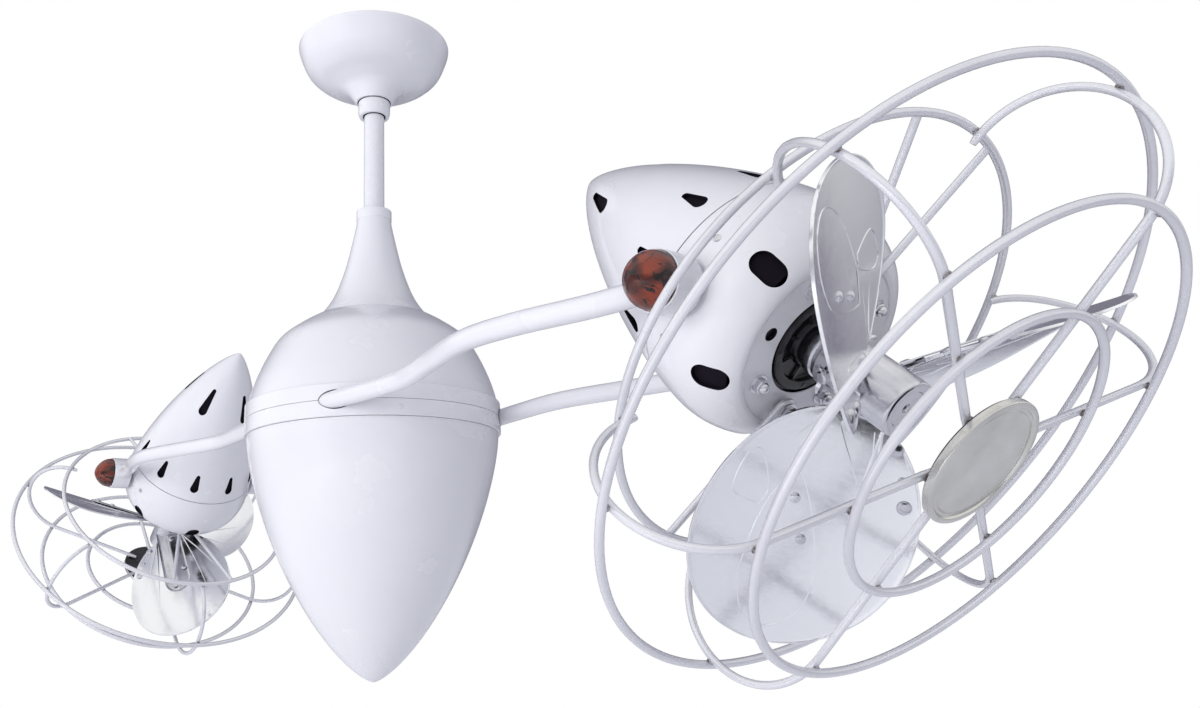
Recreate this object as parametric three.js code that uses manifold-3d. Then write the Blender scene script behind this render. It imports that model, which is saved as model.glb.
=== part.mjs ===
// Twin head ceiling fan, in millimetres, +Z up. The origin is on the downrod's axis in the plane of
// the ceiling. A canopy and downrod carry an egg-shaped body that turns slowly about the rod. Two
// bent arms reach out of the body on each side and hold a caged fan head between their ends. Each
// head tilts on the line through its arm ends and drives a rotor with broad petal blades.
import * as THREE from "three";
import { mergeVertices } from "three/addons/utils/BufferGeometryUtils.js";
import Module from "manifold-3d";

const wasm = await Module();
wasm.setup();

// ---- Clearances ----
const SEAT_GAP = 0.3; // between pieces that seat on, or run in, each other
const TURN_GAP = 1.2; // between the fixed hanger cone and the turning body
const PORT_GAP = 0.85; // round each arm where it leaves the body

// ---- Ceiling fitting and downrod ----
const CANOPY_RADIUS = 83.6;
const CANOPY_DEPTH = 64;
const CANOPY_NECK_RADIUS = 20;
const CANOPY_WALL = 1.6;
const COLLAR_HEIGHT = 17;
const COLLAR_RADIUS = 17.5;
const COLLAR_BORE_RADIUS = 12;
const BRACKET_WIDTH = 34;
const BRACKET_THICKNESS = 2.5;
const BRACKET_DROP = 36.5; // from the ceiling to the strap that the ball rests in
const BRACKET_LEG_HALF_SPAN = 32;
const BRACKET_SLOT_LENGTH = 18;
const BRACKET_SLOT_WIDTH = 6;
const BRACKET_SLOT_OFFSET = 57;
const BALL_RADIUS = 18;
const BALL_SEAT_RADIUS = 13.5;
const ROD_RADIUS = 11;
const ROD_WALL = 2;
const ROD_VISIBLE = 112.4; // between the canopy's collar and the hanger cone
const ROD_SOCKET_DEPTH = 34; // how far the rod runs into the turning motor's neck

// ---- Hanger cone and turning body ----
const CONE_COLLAR_HEIGHT = 11;
const CONE_COLLAR_RADIUS = 17.7;
const CONE_HEIGHT = 109.7;
const CONE_RIM_RADIUS = 56.9;
const CONE_WALL = 2;
const BODY_RADIUS = 125;
const BODY_WALL = 2.2;
const UPPER_SHELL_HEIGHT = 91;
const UPPER_SHELL_TOP_RADIUS = 62;
const UPPER_SHELL_MOUTH_RADIUS = 24;
const LOWER_SHELL_HEIGHT = 230;
const BODY_TAPER = 0.7;
const BAND_RADIUS = 127.5;
const BAND_HEIGHT = 15;
const MOTOR_RADIUS = 45;
const MOTOR_HEIGHT = 52;
const MOTOR_NECK_RADIUS = 16;
const MOTOR_NECK_HEIGHT = 42;
const MOTOR_NECK_RISE = 12; // how far the neck stands above the turning body, inside the cone
const SPINDLE_RADIUS = 8;
const SPINDLE_DEPTH = 24;
const CARRIER_THICKNESS = 5;
const CARRIER_HUB_RADIUS = 15;

// ---- Arms and tilt pivots ----
const PIVOT_REACH = 474; // from the downrod's axis to each tilt axis
const ARM_RADIUS = 8;
const ARM_ROOT_X = 30;
const ARM_ROOT_Y = 101;
const ARM_BOW_IN = 12.7; // how far the arm swings inwards of a straight line, near the body
const ARM_BOW_OUT = 21.5; // and outwards of it, near the head
const BOSS_RADIUS = 19.25;
const BOSS_LENGTH = 21.5;
const BOSS_CUP_DEPTH = 2;
const PIN_RADIUS = 5;
const PIN_NUT_RADIUS = 9;
const PIN_NUT_LENGTH = 5;
const BUSH_RADIUS = 13;
const BUSH_THICKNESS = 2.4;
const KNOB_RADIUS = 18;
const KNOB_LENGTH = 22;
const KNOB_SPIGOT_RADIUS = 16.6;
const KNOB_BORE_DEPTH = 12;

// ---- Fan head ----
const HEAD_TILT = 43.8; // degrees below level at rest
const HEAD_RADIUS = 82;
const HEAD_WIDEST = 5; // from the tilt axis, towards the blades, to the widest section
const HEAD_REAR_LENGTH = 211; // from the widest section back to the tip
const HEAD_TAPER = 0.77;
const HEAD_SHOULDER = 42; // from the widest section to the front face
const HEAD_SEAM = -21; // where the rear shell meets the front shell
const HEAD_WALL = 2.2;
const FACE_RADIUS = 60;
const FACE_STEP_RADIUS = 57;
const FACE_STEP_DEPTH = 1.5;
const OPENING_RADIUS = 35;
const FACE_HOLE_RADIUS = 4.5;
const FACE_BOLT_CIRCLE = 46;

// ---- Vents ----
const SIDE_VENTS = 10;
const SIDE_VENT_SPAN = [-57, -33];
const SIDE_VENT_RADII = [2.4, 5.2];
const TIP_VENTS = 5;
const TIP_VENT_SPAN = [-161, -127];
const TIP_VENT_RADII = [2.6, 5.6];
const FRONT_VENTS = 6;
const FRONT_VENT_PHASE = 32;
const FRONT_VENT_LENGTH = 24;
const FRONT_VENT_WIDTH = 16;
const FRONT_VENT_SHARE = 0.72; // of the way from the widest section to the face
const FRONT_VENT_LEAN = 31; // degrees from square to the axis

// ---- Motor and rotor ----
const FAN_MOTOR_RADIUS = 42;
const FAN_MOTOR_REAR = -32;
const FAN_MOTOR_FLANGE_RADIUS = 53;
const FAN_MOTOR_FLANGE_THICKNESS = 3;
const FAN_MOTOR_NOSE_RADIUS = 33;
const SHAFT_RADIUS = 6;
const SHAFT_REAR = -12;
const HUB_RADIUS = 18.25;
const HUB_REAR = 50;
const HUB_FRONT = 117;
const BLADES = 3;
const BLADE_AXIAL = 85.5; // where the blades' centre lines leave the head's axis
const BLADE_PITCH = 36;
const BLADE_CONE = 6.6; // degrees that a blade leans towards the front
const BLADE_ROOT_GAP = 3.75; // from the hub to a blade's root
const BLADE_LENGTH = 158;
const BLADE_ROOT_CUT = 4; // length of the petal's outline left flat at its root
const BLADE_WIDTH = 131;
const BLADE_SWEEP = 5; // how far a blade's middle lies ahead of its radial line
const BLADE_CUP = 10.7; // rise of a blade's long edges above its middle
const BLADE_THICKNESS = 1.4;
const BLADE_TIP_CUT = 8; // degrees of the petal's outline left flat at its tip
const BLADE_BRACKET_REACH = 112;
const BLADE_BRACKET_WIDTHS = [30, 34]; // at the hub and at its end
const BLADE_BRACKET_SHEET = 2;

// ---- Cage ----
const SPOKES = 6;
const SPOKE_WIRE = 4.8;
const RING_WIRE = 5.2;
const CAGE_FRONT = 158.5; // plane of the spokes' straight runs
const SPOKE_INNER = 26;
const SPOKE_BEND_RADIUS = 51.25;
const CAGE_TIP_GAP = 17.75; // from the blades' tips to the middle of the spokes' wire
const FRONT_RING_RADIUS = 89;
const MIDDLE_RING_OFFSET = 6.3; // outwards of where the spokes start to turn back
const REAR_RING_OFFSET = 7.5; // outwards of there, too
const STRUT_ANGLES = [90, -90];
const STRUT_SPREAD = 15; // degrees from a strut's middle to each of its feet
const STRUT_FOOT_SETBACK = 1.5; // from the rear ring's middle back to the middle of a strut's foot
const STRUT_BOLT_RADIUS = 4;
const STRUT_BOLT_HEAD_RADIUS = 7;
const STRUT_BOLT_HEAD_HEIGHT = 3;
const BADGE_RADIUS = 39;
const BADGE_THICKNESS = 6;
const BADGE_RIM_WIDTH = 3.5;
const BADGE_RECESS = 1.6;

// Each head is set by hand, with its own phases in degrees round its axis.
const HEADS = {
  right: { side: 1, spokePhase: 25, tipVentPhase: 177, rotorPhase: -87 },
  left: { side: -1, spokePhase: 30, tipVentPhase: 137, rotorPhase: -25 },
};

// ---- Facets ----
const ROUND_LARGE = 20; // the body
const ROUND_MEDIUM = 16; // the canopy, the cone and the heads
const ROUND_SMALL = 12; // rods, bosses and motors
const ROUND_PIN = 8; // pins
const ROUND_BADGE = 18;
const ROUND_BOLT = 6;
const RING_FACETS = { front: 18, middle: 24, outer: 30, rear: 24 }; // each a whole number per spoke
const WIRE_SIDES = 5;
const ARM_SIDES = 8;

// ---- Curves, as shares of a piece's spread and height ----
const CANOPY_FLARE = [
  [1, 0],
  [0.98, 0.09],
  [0.88, 0.34],
  [0.77, 0.47],
  [0.61, 0.58],
  [0.375, 0.67],
  [0.17, 0.78],
  [0, 1],
];
const CONE_FLARE = [
  [1, 0],
  [0.88, 0.06],
  [0.735, 0.134],
  [0.595, 0.225],
  [0.44, 0.362],
  [0.28, 0.544],
  [0.16, 0.7265],
  [0.05, 0.91],
  [0.01, 1],
];
const DOME_CURVE = [
  [1, 0],
  [0.976, 0.13],
  [0.936, 0.295],
  [0.864, 0.515],
  [0.768, 0.735],
  [0.616, 0.9],
];
const ARM_BOWS = [
  [0, 0],
  [0.1, 0.4],
  [0.2, 0.75],
  [0.32, 1],
  [0.4, 0.62],
  [0.52, -0.36],
  [0.645, -1],
  [0.76, -0.86],
  [0.9, -0.2],
  [1, 0],
]; // a share of the way out, and a share of a bow: inwards if positive

// ---- Stations down the downrod's axis ----
const collarTop = -CANOPY_DEPTH - SEAT_GAP;
const collarBottom = collarTop - COLLAR_HEIGHT;
const coneTop = collarBottom - ROD_VISIBLE;
const coneRim = coneTop - CONE_COLLAR_HEIGHT - CONE_HEIGHT;
const bodyTop = coneRim - TURN_GAP;
const upperShellRim = bodyTop - UPPER_SHELL_HEIGHT;
const upperBandTop = upperShellRim - SEAT_GAP;
const seamZ = upperBandTop - BAND_HEIGHT - SEAT_GAP / 2;
const lowerBandTop = seamZ - SEAT_GAP / 2;
const lowerShellRim = lowerBandTop - BAND_HEIGHT - SEAT_GAP;
const bandBore = BODY_RADIUS - BODY_WALL;

// ---- Materials ----
const paint = () => new THREE.MeshStandardMaterial({ color: 0xe6e6ee, roughness: 0.35, metalness: 0.1 });
const wirePaint = () => new THREE.MeshStandardMaterial({ color: 0xc9c9d2, roughness: 0.35, metalness: 0.7 });
const polished = () => new THREE.MeshStandardMaterial({ color: 0xd9dbe0, roughness: 0.12, metalness: 1 });
const zinc = () => new THREE.MeshStandardMaterial({ color: 0x9a9ca0, roughness: 0.5, metalness: 0.9 });
const blackMetal = () => new THREE.MeshStandardMaterial({ color: 0x0c0b10, roughness: 0.3, metalness: 0.4 });
const stone = () => new THREE.MeshStandardMaterial({ color: 0x5a1a10, roughness: 0.15, metalness: 0 });

const radians = THREE.MathUtils.degToRad;

// ---- Solid helpers ----

// A closed geometry as a solid that can be joined and cut.
function solid(geometry) {
  const bare = geometry.index ? geometry.toNonIndexed() : geometry.clone();
  for (const name of Object.keys(bare.attributes)) {
    if (name !== "position") bare.deleteAttribute(name);
  }
  const merged = mergeVertices(bare, 1e-4);
  const mesh = new wasm.Mesh({
    numProp: 3,
    vertProperties: merged.attributes.position.array,
    triVerts: new Uint32Array(merged.index.array),
  });
  return new wasm.Manifold(mesh);
}

// A solid back as a geometry.
function geometryOf(made) {
  const mesh = made.getMesh();
  const geometry = new THREE.BufferGeometry();
  geometry.setAttribute("position", new THREE.BufferAttribute(mesh.vertProperties, 3));
  geometry.setIndex(new THREE.BufferAttribute(mesh.triVerts, 1));
  geometry.computeVertexNormals();
  return geometry;
}

const joined = (...parts) => parts.map(solid).reduce((sum, part) => sum.add(part));
const cutFrom = (body, cutters) => cutters.map(solid).reduce((left, cutter) => left.subtract(cutter), body);

function named(name, geometry, material) {
  const mesh = new THREE.Mesh(geometry, material);
  mesh.name = name;
  return mesh;
}

// A closed profile of [radius, height] points, revolved about +Z.
function revolve(profile, segments) {
  const loop = profile.map(([radius, height]) => new THREE.Vector2(Math.max(radius, 0), height));
  if (THREE.ShapeUtils.area(loop) < 0) loop.reverse();
  loop.push(loop[0].clone());
  return new THREE.LatheGeometry(loop, segments).rotateX(Math.PI / 2);
}

// The inside of a wall under an outer profile. Its first and last points keep their heights.
function lining(outer, wall) {
  const inner = outer.map(([radius, height], i) => {
    const [r0, h0] = outer[Math.max(i - 1, 0)];
    const [r1, h1] = outer[Math.min(i + 1, outer.length - 1)];
    const run = Math.hypot(r1 - r0, h1 - h0);
    const end = i === 0 || i === outer.length - 1;
    if (radius === 0) return [0, height + Math.sign(h1 - h0 || 1) * (i === 0 ? wall : -wall)];
    if (end) return [radius - wall, height];
    const down = Math.sign(h1 - h0);
    return [radius - (wall * Math.abs(h1 - h0)) / run, height + (wall * (r1 - r0) * down) / run];
  });
  return inner.reverse();
}

const walled = (outer, wall) => [...outer, ...lining(outer, wall)];

// The egg outline of the body's lower half and of the heads: its radius, as a share of the widest,
// at a share u of the way from the widest section to the tip. A lower taper makes it fuller.
const eggShare = (u, taper) => Math.pow(1 - Math.pow(u, 1.5), taper);

// Shares that crowd towards 1, where the outline closes.
const eased = (i, steps) => Math.sin((Math.PI / 2) * (i / steps));

// A smooth run of [radius, height] points through a few given ones.
function smooth(points, steps) {
  const curve = new THREE.SplineCurve(points.map(([radius, height]) => new THREE.Vector2(radius, height)));
  return curve.getPoints(steps).map((p) => [p.x, p.y]);
}

// A round bar along points that lie in one plane, given that plane's normal. One edge of its section
// points square to its path, to the right seen along the normal.
function bar(points, radius, sides, normal) {
  const position = [];
  const index = [];
  points.forEach((point, i) => {
    const before = points[Math.max(i - 1, 0)];
    const after = points[Math.min(i + 1, points.length - 1)];
    const along = after.clone().sub(before).normalize();
    const across = along.clone().cross(normal).normalize();
    for (let k = 0; k < sides; k++) {
      const turn = (2 * Math.PI * k) / sides;
      const vertex = point.clone();
      vertex.addScaledVector(across, radius * Math.cos(turn));
      vertex.addScaledVector(normal, radius * Math.sin(turn));
      position.push(vertex.x, vertex.y, vertex.z);
    }
  });
  for (let i = 0; i + 1 < points.length; i++) {
    for (let k = 0; k < sides; k++) {
      const a = i * sides + k;
      const b = i * sides + ((k + 1) % sides);
      index.push(a, a + sides, b, b, a + sides, b + sides);
    }
  }
  const last = (points.length - 1) * sides;
  for (let k = 1; k + 1 < sides; k++) {
    index.push(0, k, k + 1, last, last + k + 1, last + k);
  }
  const geometry = new THREE.BufferGeometry();
  geometry.setAttribute("position", new THREE.Float32BufferAttribute(position, 3));
  geometry.setIndex(index);
  return geometry;
}

// A curved sheet: rows of points across it, each point lifted by the same surface, and thickened.
function sheet(rows, lift, base, thickness) {
  const columns = rows[0].length;
  const position = [];
  const index = [];
  for (const level of [base, base + thickness]) {
    for (const row of rows) {
      for (const [x, y] of row) position.push(x, y, lift(x, y) + level);
    }
  }
  const top = rows.length * columns;
  const quad = (a, b, c, d) => index.push(a, b, c, a, c, d);
  for (let i = 0; i + 1 < rows.length; i++) {
    for (let j = 0; j + 1 < columns; j++) {
      const a = i * columns + j;
      quad(top + a, top + a + columns, top + a + columns + 1, top + a + 1);
      quad(a, a + 1, a + columns + 1, a + columns);
    }
    const left = i * columns;
    const right = left + columns - 1;
    quad(left, left + columns, top + left + columns, top + left);
    quad(right, top + right, top + right + columns, right + columns);
  }
  for (let j = 0; j + 1 < columns; j++) {
    const end = (rows.length - 1) * columns;
    quad(j, top + j, top + j + 1, j + 1);
    quad(end + j, end + j + 1, top + end + j + 1, top + end + j);
  }
  const geometry = new THREE.BufferGeometry();
  geometry.setAttribute("position", new THREE.Float32BufferAttribute(position, 3));
  geometry.setIndex(index);
  return geometry;
}

// ---- Ceiling fitting ----

function canopyOuter() {
  const spread = CANOPY_RADIUS - CANOPY_NECK_RADIUS;
  const place = ([share, drop]) => [CANOPY_NECK_RADIUS + spread * share, -CANOPY_DEPTH * drop];
  return smooth(CANOPY_FLARE.map(place), 7);
}

function ceilingBracket() {
  const inside = CANOPY_RADIUS - CANOPY_WALL - BRACKET_THICKNESS / 3;
  const clear = inside * Math.cos(Math.PI / ROUND_MEDIUM) - SEAT_GAP;
  const reach = Math.sqrt(clear ** 2 - (BRACKET_WIDTH / 2) ** 2);
  const leg = BRACKET_LEG_HALF_SPAN + BRACKET_THICKNESS;
  const foot = -BRACKET_DROP - BRACKET_THICKNESS;
  const outline = new THREE.Shape();
  outline.moveTo(-reach, -BRACKET_THICKNESS);
  outline.lineTo(-leg, -BRACKET_THICKNESS);
  outline.lineTo(-leg, foot);
  outline.lineTo(leg, foot);
  outline.lineTo(leg, -BRACKET_THICKNESS);
  outline.lineTo(reach, -BRACKET_THICKNESS);
  outline.lineTo(reach, 0);
  outline.lineTo(-reach, 0);
  const window = new THREE.Path();
  window.moveTo(-BRACKET_LEG_HALF_SPAN, -BRACKET_THICKNESS);
  window.lineTo(BRACKET_LEG_HALF_SPAN, -BRACKET_THICKNESS);
  window.lineTo(BRACKET_LEG_HALF_SPAN, -BRACKET_DROP);
  window.lineTo(-BRACKET_LEG_HALF_SPAN, -BRACKET_DROP);
  outline.holes.push(window);
  const strap = new THREE.ExtrudeGeometry(outline, { depth: BRACKET_WIDTH, bevelEnabled: false });
  strap.translate(0, 0, -BRACKET_WIDTH / 2).rotateX(Math.PI / 2);
  const through = 3 * BRACKET_THICKNESS;
  const seat = new THREE.CylinderGeometry(BALL_SEAT_RADIUS, BALL_SEAT_RADIUS, through, ROUND_SMALL);
  seat.rotateX(Math.PI / 2).translate(0, 0, -BRACKET_DROP);
  const slots = [-1, 1].map((side) => {
    const slot = new THREE.BoxGeometry(BRACKET_SLOT_LENGTH, BRACKET_SLOT_WIDTH, through);
    return slot.translate(side * BRACKET_SLOT_OFFSET, 0, 0);
  });
  return named("ceiling_bracket", geometryOf(cutFrom(solid(strap), [seat, ...slots])), zinc());
}

function hangerBall() {
  const contactDrop = Math.sqrt(BALL_RADIUS ** 2 - BALL_SEAT_RADIUS ** 2);
  const centre = -BRACKET_DROP + contactDrop + SEAT_GAP;
  const ballBore = ROD_RADIUS + SEAT_GAP;
  const start = Math.asin(ballBore / BALL_RADIUS);
  const steps = 5;
  const profile = [];
  for (let i = 0; i <= steps; i++) {
    const angle = start + ((Math.PI - 2 * start) * i) / steps;
    profile.push([BALL_RADIUS * Math.sin(angle), centre + BALL_RADIUS * Math.cos(angle)]);
  }
  return named("hanger_ball", revolve(profile, ROUND_SMALL), blackMetal());
}

function downrod() {
  const top = -BRACKET_THICKNESS - 4;
  const bottom = bodyTop + MOTOR_NECK_RISE - ROD_SOCKET_DEPTH;
  const bore = ROD_RADIUS - ROD_WALL;
  const profile = [[bore, top], [ROD_RADIUS, top], [ROD_RADIUS, bottom], [bore, bottom]];
  return named("downrod", revolve(profile, ROUND_SMALL), paint());
}

function canopyCollar() {
  const lip = 1;
  const profile = [
    [COLLAR_BORE_RADIUS, collarTop],
    [COLLAR_RADIUS, collarTop],
    [COLLAR_RADIUS, collarBottom + COLLAR_HEIGHT / 2],
    [COLLAR_RADIUS - lip, collarBottom],
    [COLLAR_BORE_RADIUS, collarBottom],
  ];
  return named("canopy_collar", revolve(profile, ROUND_SMALL), paint());
}

// ---- Hanger cone and body ----

function hangerCone() {
  const spread = CONE_RIM_RADIUS - CONE_COLLAR_RADIUS;
  const place = ([share, rise]) => [CONE_COLLAR_RADIUS + spread * share, coneRim + CONE_HEIGHT * rise];
  const outer = smooth(CONE_FLARE.map(place), 5);
  const collarFoot = coneTop - CONE_COLLAR_HEIGHT;
  const bore = ROD_RADIUS + SEAT_GAP;
  const inside = lining(outer, CONE_WALL).filter(([, height]) => height < collarFoot - CONE_WALL);
  const roof = [[bore, collarFoot - CONE_WALL], [bore, coneTop]];
  const collar = [[CONE_COLLAR_RADIUS + 1, coneTop], [CONE_COLLAR_RADIUS + 1, collarFoot]];
  const loop = [...outer.slice(0, -1), ...collar.reverse(), ...roof.reverse(), ...inside];
  return named("hanger_cone", revolve(loop, ROUND_MEDIUM), paint());
}

function upperShell() {
  const dome = [...DOME_CURVE, [UPPER_SHELL_TOP_RADIUS / BODY_RADIUS, 1]];
  const place = ([share, rise]) => [BODY_RADIUS * share, upperShellRim + UPPER_SHELL_HEIGHT * rise];
  const outer = smooth(dome.map(place), 6);
  const inside = lining(outer, BODY_WALL).slice(1);
  const lid = [[UPPER_SHELL_MOUTH_RADIUS, bodyTop], [UPPER_SHELL_MOUTH_RADIUS, bodyTop - BODY_WALL]];
  const under = [[UPPER_SHELL_TOP_RADIUS - BODY_WALL, bodyTop - BODY_WALL]];
  return named("upper_shell", revolve([...outer, ...lid, ...under, ...inside], ROUND_LARGE), paint());
}

function lowerShell() {
  const steps = 7;
  const outer = [];
  for (let i = 0; i <= steps; i++) {
    const share = eased(i, steps);
    const radius = i === steps ? 0 : BODY_RADIUS * eggShare(share, BODY_TAPER);
    outer.push([radius, lowerShellRim - LOWER_SHELL_HEIGHT * share]);
  }
  return named("lower_shell", revolve(walled(outer, BODY_WALL), ROUND_LARGE), paint());
}

// The arm ends at the middle of its boss, beside the head.
const bossInnerY = HEAD_RADIUS + 2 * SEAT_GAP + BUSH_THICKNESS;
const bossOuterY = bossInnerY + BOSS_LENGTH;
const armEndY = (bossInnerY + bossOuterY) / 2;

// The centre line of the front right arm, from inside the body to its boss, in the seam's plane.
function armPath() {
  const endX = PIVOT_REACH - (BOSS_RADIUS + PIN_RADIUS) / 2;
  const points = ARM_BOWS.map(([share, bow]) => {
    const x = THREE.MathUtils.lerp(ARM_ROOT_X, endX, share);
    const y = THREE.MathUtils.lerp(ARM_ROOT_Y, armEndY, share);
    return new THREE.Vector3(x, -(y - bow * (bow > 0 ? ARM_BOW_IN : ARM_BOW_OUT)), 0);
  });
  return new THREE.CatmullRomCurve3(points).getSpacedPoints(10);
}

function armTube(radius) {
  return bar(armPath(), radius, ARM_SIDES, new THREE.Vector3(0, 0, 1));
}

// The boss is a turned cup on the tilt axis, bored for the pin and recessed for the knob.
function bossProfile() {
  const bore = PIN_RADIUS + SEAT_GAP;
  const cup = KNOB_RADIUS + SEAT_GAP;
  return [
    [bore, bossInnerY],
    [BOSS_RADIUS, bossInnerY],
    [BOSS_RADIUS, bossOuterY],
    [cup, bossOuterY],
    [cup, bossOuterY - BOSS_CUP_DEPTH],
    [bore, bossOuterY - BOSS_CUP_DEPTH],
  ];
}

// One arm: a bent tube welded into its boss. Right and front are the sides as drawn; the others are
// turned or mirrored copies.
function arm(side, face) {
  const boss = revolve(bossProfile(), ROUND_SMALL).rotateX(Math.PI / 2).translate(PIVOT_REACH, 0, 0);
  const geometry = geometryOf(joined(armTube(ARM_RADIUS), boss));
  const turned = side * (face === "front" ? 1 : -1) < 0;
  placeArm(geometry, side, face);
  return named(`${side > 0 ? "right" : "left"}_arm_${face}`, turned ? flipped(geometry) : geometry, paint());
}

// Front right is as drawn, back left is half a turn from it, and the other two are mirror images.
function placeArm(geometry, side, face) {
  geometry.scale(side, face === "front" ? 1 : -1, 1);
  geometry.translate(0, 0, seamZ);
  return geometry;
}

// A mirrored geometry with its faces turned the right way out again.
function flipped(geometry) {
  const index = geometry.index.array;
  for (let i = 0; i < index.length; i += 3) {
    [index[i + 1], index[i + 2]] = [index[i + 2], index[i + 1]];
  }
  geometry.computeVertexNormals();
  return geometry;
}

const armSeats = [[1, "front"], [1, "back"], [-1, "front"], [-1, "back"]];

function portCutters() {
  return armSeats.map(([side, face]) => {
    const cutter = placeArm(armTube(ARM_RADIUS + PORT_GAP), side, face);
    return side * (face === "front" ? 1 : -1) < 0 ? flipped(cutter) : cutter;
  });
}

function band(name, top) {
  const profile = [
    [bandBore, top],
    [BAND_RADIUS, top],
    [BAND_RADIUS, top - BAND_HEIGHT],
    [bandBore, top - BAND_HEIGHT],
  ];
  const ring = solid(revolve(profile, ROUND_LARGE));
  return named(name, geometryOf(cutFrom(ring, portCutters())), paint());
}

const carrierTop = seamZ - ARM_RADIUS - SEAT_GAP;
const motorBottom = bodyTop + MOTOR_NECK_RISE - MOTOR_NECK_HEIGHT - MOTOR_HEIGHT;

function armCarrier() {
  const rim = bandBore - SEAT_GAP;
  const shoulder = motorBottom - SEAT_GAP;
  const tip = motorBottom + SPINDLE_DEPTH - SEAT_GAP;
  const profile = [
    [0, carrierTop - CARRIER_THICKNESS],
    [rim, carrierTop - CARRIER_THICKNESS],
    [rim, carrierTop],
    [CARRIER_HUB_RADIUS, carrierTop],
    [CARRIER_HUB_RADIUS, shoulder],
    [SPINDLE_RADIUS, shoulder],
    [SPINDLE_RADIUS, tip],
    [0, tip],
  ];
  return named("arm_carrier", revolve(profile, ROUND_LARGE), zinc());
}

function turnMotor() {
  const neckTop = bodyTop + MOTOR_NECK_RISE;
  const neckFoot = neckTop - MOTOR_NECK_HEIGHT;
  const socket = ROD_RADIUS + SEAT_GAP;
  const socketFloor = neckTop - ROD_SOCKET_DEPTH - SEAT_GAP;
  const spindleBore = SPINDLE_RADIUS + SEAT_GAP;
  const bevel = 5;
  const profile = [
    [0, socketFloor],
    [socket, socketFloor],
    [socket, neckTop],
    [MOTOR_NECK_RADIUS, neckTop],
    [MOTOR_NECK_RADIUS, neckFoot],
    [MOTOR_RADIUS - bevel, neckFoot],
    [MOTOR_RADIUS, neckFoot - bevel],
    [MOTOR_RADIUS, motorBottom],
    [spindleBore, motorBottom],
    [spindleBore, motorBottom + SPINDLE_DEPTH],
    [0, motorBottom + SPINDLE_DEPTH],
  ];
  return named("turn_motor", revolve(profile, ROUND_SMALL), blackMetal());
}

// ---- Fan heads. In a head's own frame +Z runs forward along its axis from the tilt axis, which is X. ----

const headRadiusAt = (z) => HEAD_RADIUS * eggShare((HEAD_WIDEST - z) / HEAD_REAR_LENGTH, HEAD_TAPER);

// A teardrop, drawn along Y, with a small round end at one height and a large one at the other.
function teardrop([low, high], [lowRadius, highRadius]) {
  const from = low + lowRadius;
  const to = high - highRadius;
  const lean = Math.asin((highRadius - lowRadius) / (to - from));
  const outline = [];
  const arc = (centre, radius, start, end, steps) => {
    for (let i = 0; i <= steps; i++) {
      const angle = THREE.MathUtils.lerp(start, end, i / steps);
      outline.push(new THREE.Vector2(radius * Math.cos(angle), centre + radius * Math.sin(angle)));
    }
  };
  arc(to, highRadius, -lean, Math.PI + lean, 3);
  arc(from, lowRadius, Math.PI + lean, 2 * Math.PI - lean, 1);
  return new THREE.Shape(outline);
}

// Teardrop cutters evenly round the head's axis, each running straight out through the wall.
function ventCutters(count, phase, span, radii) {
  const options = { depth: HEAD_RADIUS, bevelEnabled: false };
  const cutters = [];
  for (let i = 0; i < count; i++) {
    const cutter = new THREE.ExtrudeGeometry(teardrop(span, radii), options);
    cutter.applyMatrix4(facing(phase + (360 * i) / count));
    cutters.push(cutter);
  }
  return cutters;
}

// Turns a shape's own Y to the head's axis and its own Z to point outwards at an angle round it.
function facing(degrees) {
  const outward = new THREE.Vector3(Math.cos(radians(degrees)), Math.sin(radians(degrees)), 0);
  const axis = new THREE.Vector3(0, 0, 1);
  return new THREE.Matrix4().makeBasis(axis.clone().cross(outward), axis, outward);
}

function rearShell(prefix, tipVentPhase) {
  const steps = 7;
  const seamShare = (HEAD_WIDEST - HEAD_SEAM) / HEAD_REAR_LENGTH;
  const first = Math.asin(seamShare) / (Math.PI / 2);
  const outer = [];
  for (let i = 0; i <= steps; i++) {
    const share = Math.sin((Math.PI / 2) * THREE.MathUtils.lerp(first, 1, i / steps));
    const radius = i === steps ? 0 : HEAD_RADIUS * eggShare(share, HEAD_TAPER);
    outer.push([radius, HEAD_WIDEST - HEAD_REAR_LENGTH * share]);
  }
  const shell = solid(revolve(walled(outer, HEAD_WALL), ROUND_MEDIUM));
  const side = ventCutters(SIDE_VENTS, 0, SIDE_VENT_SPAN, SIDE_VENT_RADII);
  const tip = ventCutters(TIP_VENTS, tipVentPhase, TIP_VENT_SPAN, TIP_VENT_RADII);
  return named(`${prefix}_rear_shell`, geometryOf(cutFrom(shell, [...side, ...tip])), paint());
}

const faceZ = HEAD_WIDEST + HEAD_SHOULDER;
const innerFaceZ = faceZ - FACE_STEP_DEPTH;

// Bolts that hold the cage's struts: a post through each strut's eye, with a head outside it.
function strutBolt(angle) {
  const eyeBottom = faceZ + SEAT_GAP;
  const headBottom = eyeBottom + SPOKE_WIRE + SEAT_GAP;
  const profile = [
    [0, innerFaceZ - HEAD_WALL / 2],
    [STRUT_BOLT_HEAD_RADIUS, innerFaceZ - HEAD_WALL / 2],
    [STRUT_BOLT_HEAD_RADIUS, faceZ],
    [STRUT_BOLT_RADIUS, faceZ],
    [STRUT_BOLT_RADIUS, headBottom],
    [STRUT_BOLT_HEAD_RADIUS, headBottom],
    [0, headBottom + STRUT_BOLT_HEAD_HEIGHT],
  ];
  const bolt = revolve(profile, ROUND_BOLT);
  return bolt.translate(FACE_BOLT_CIRCLE * Math.cos(angle), FACE_BOLT_CIRCLE * Math.sin(angle), 0);
}

// Radius of the front shell at a share of the way from its widest section to its face.
function shoulderRadius(share) {
  return FACE_RADIUS + (HEAD_RADIUS - FACE_RADIUS) * Math.pow(1 - share * share, 0.6);
}

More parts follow.
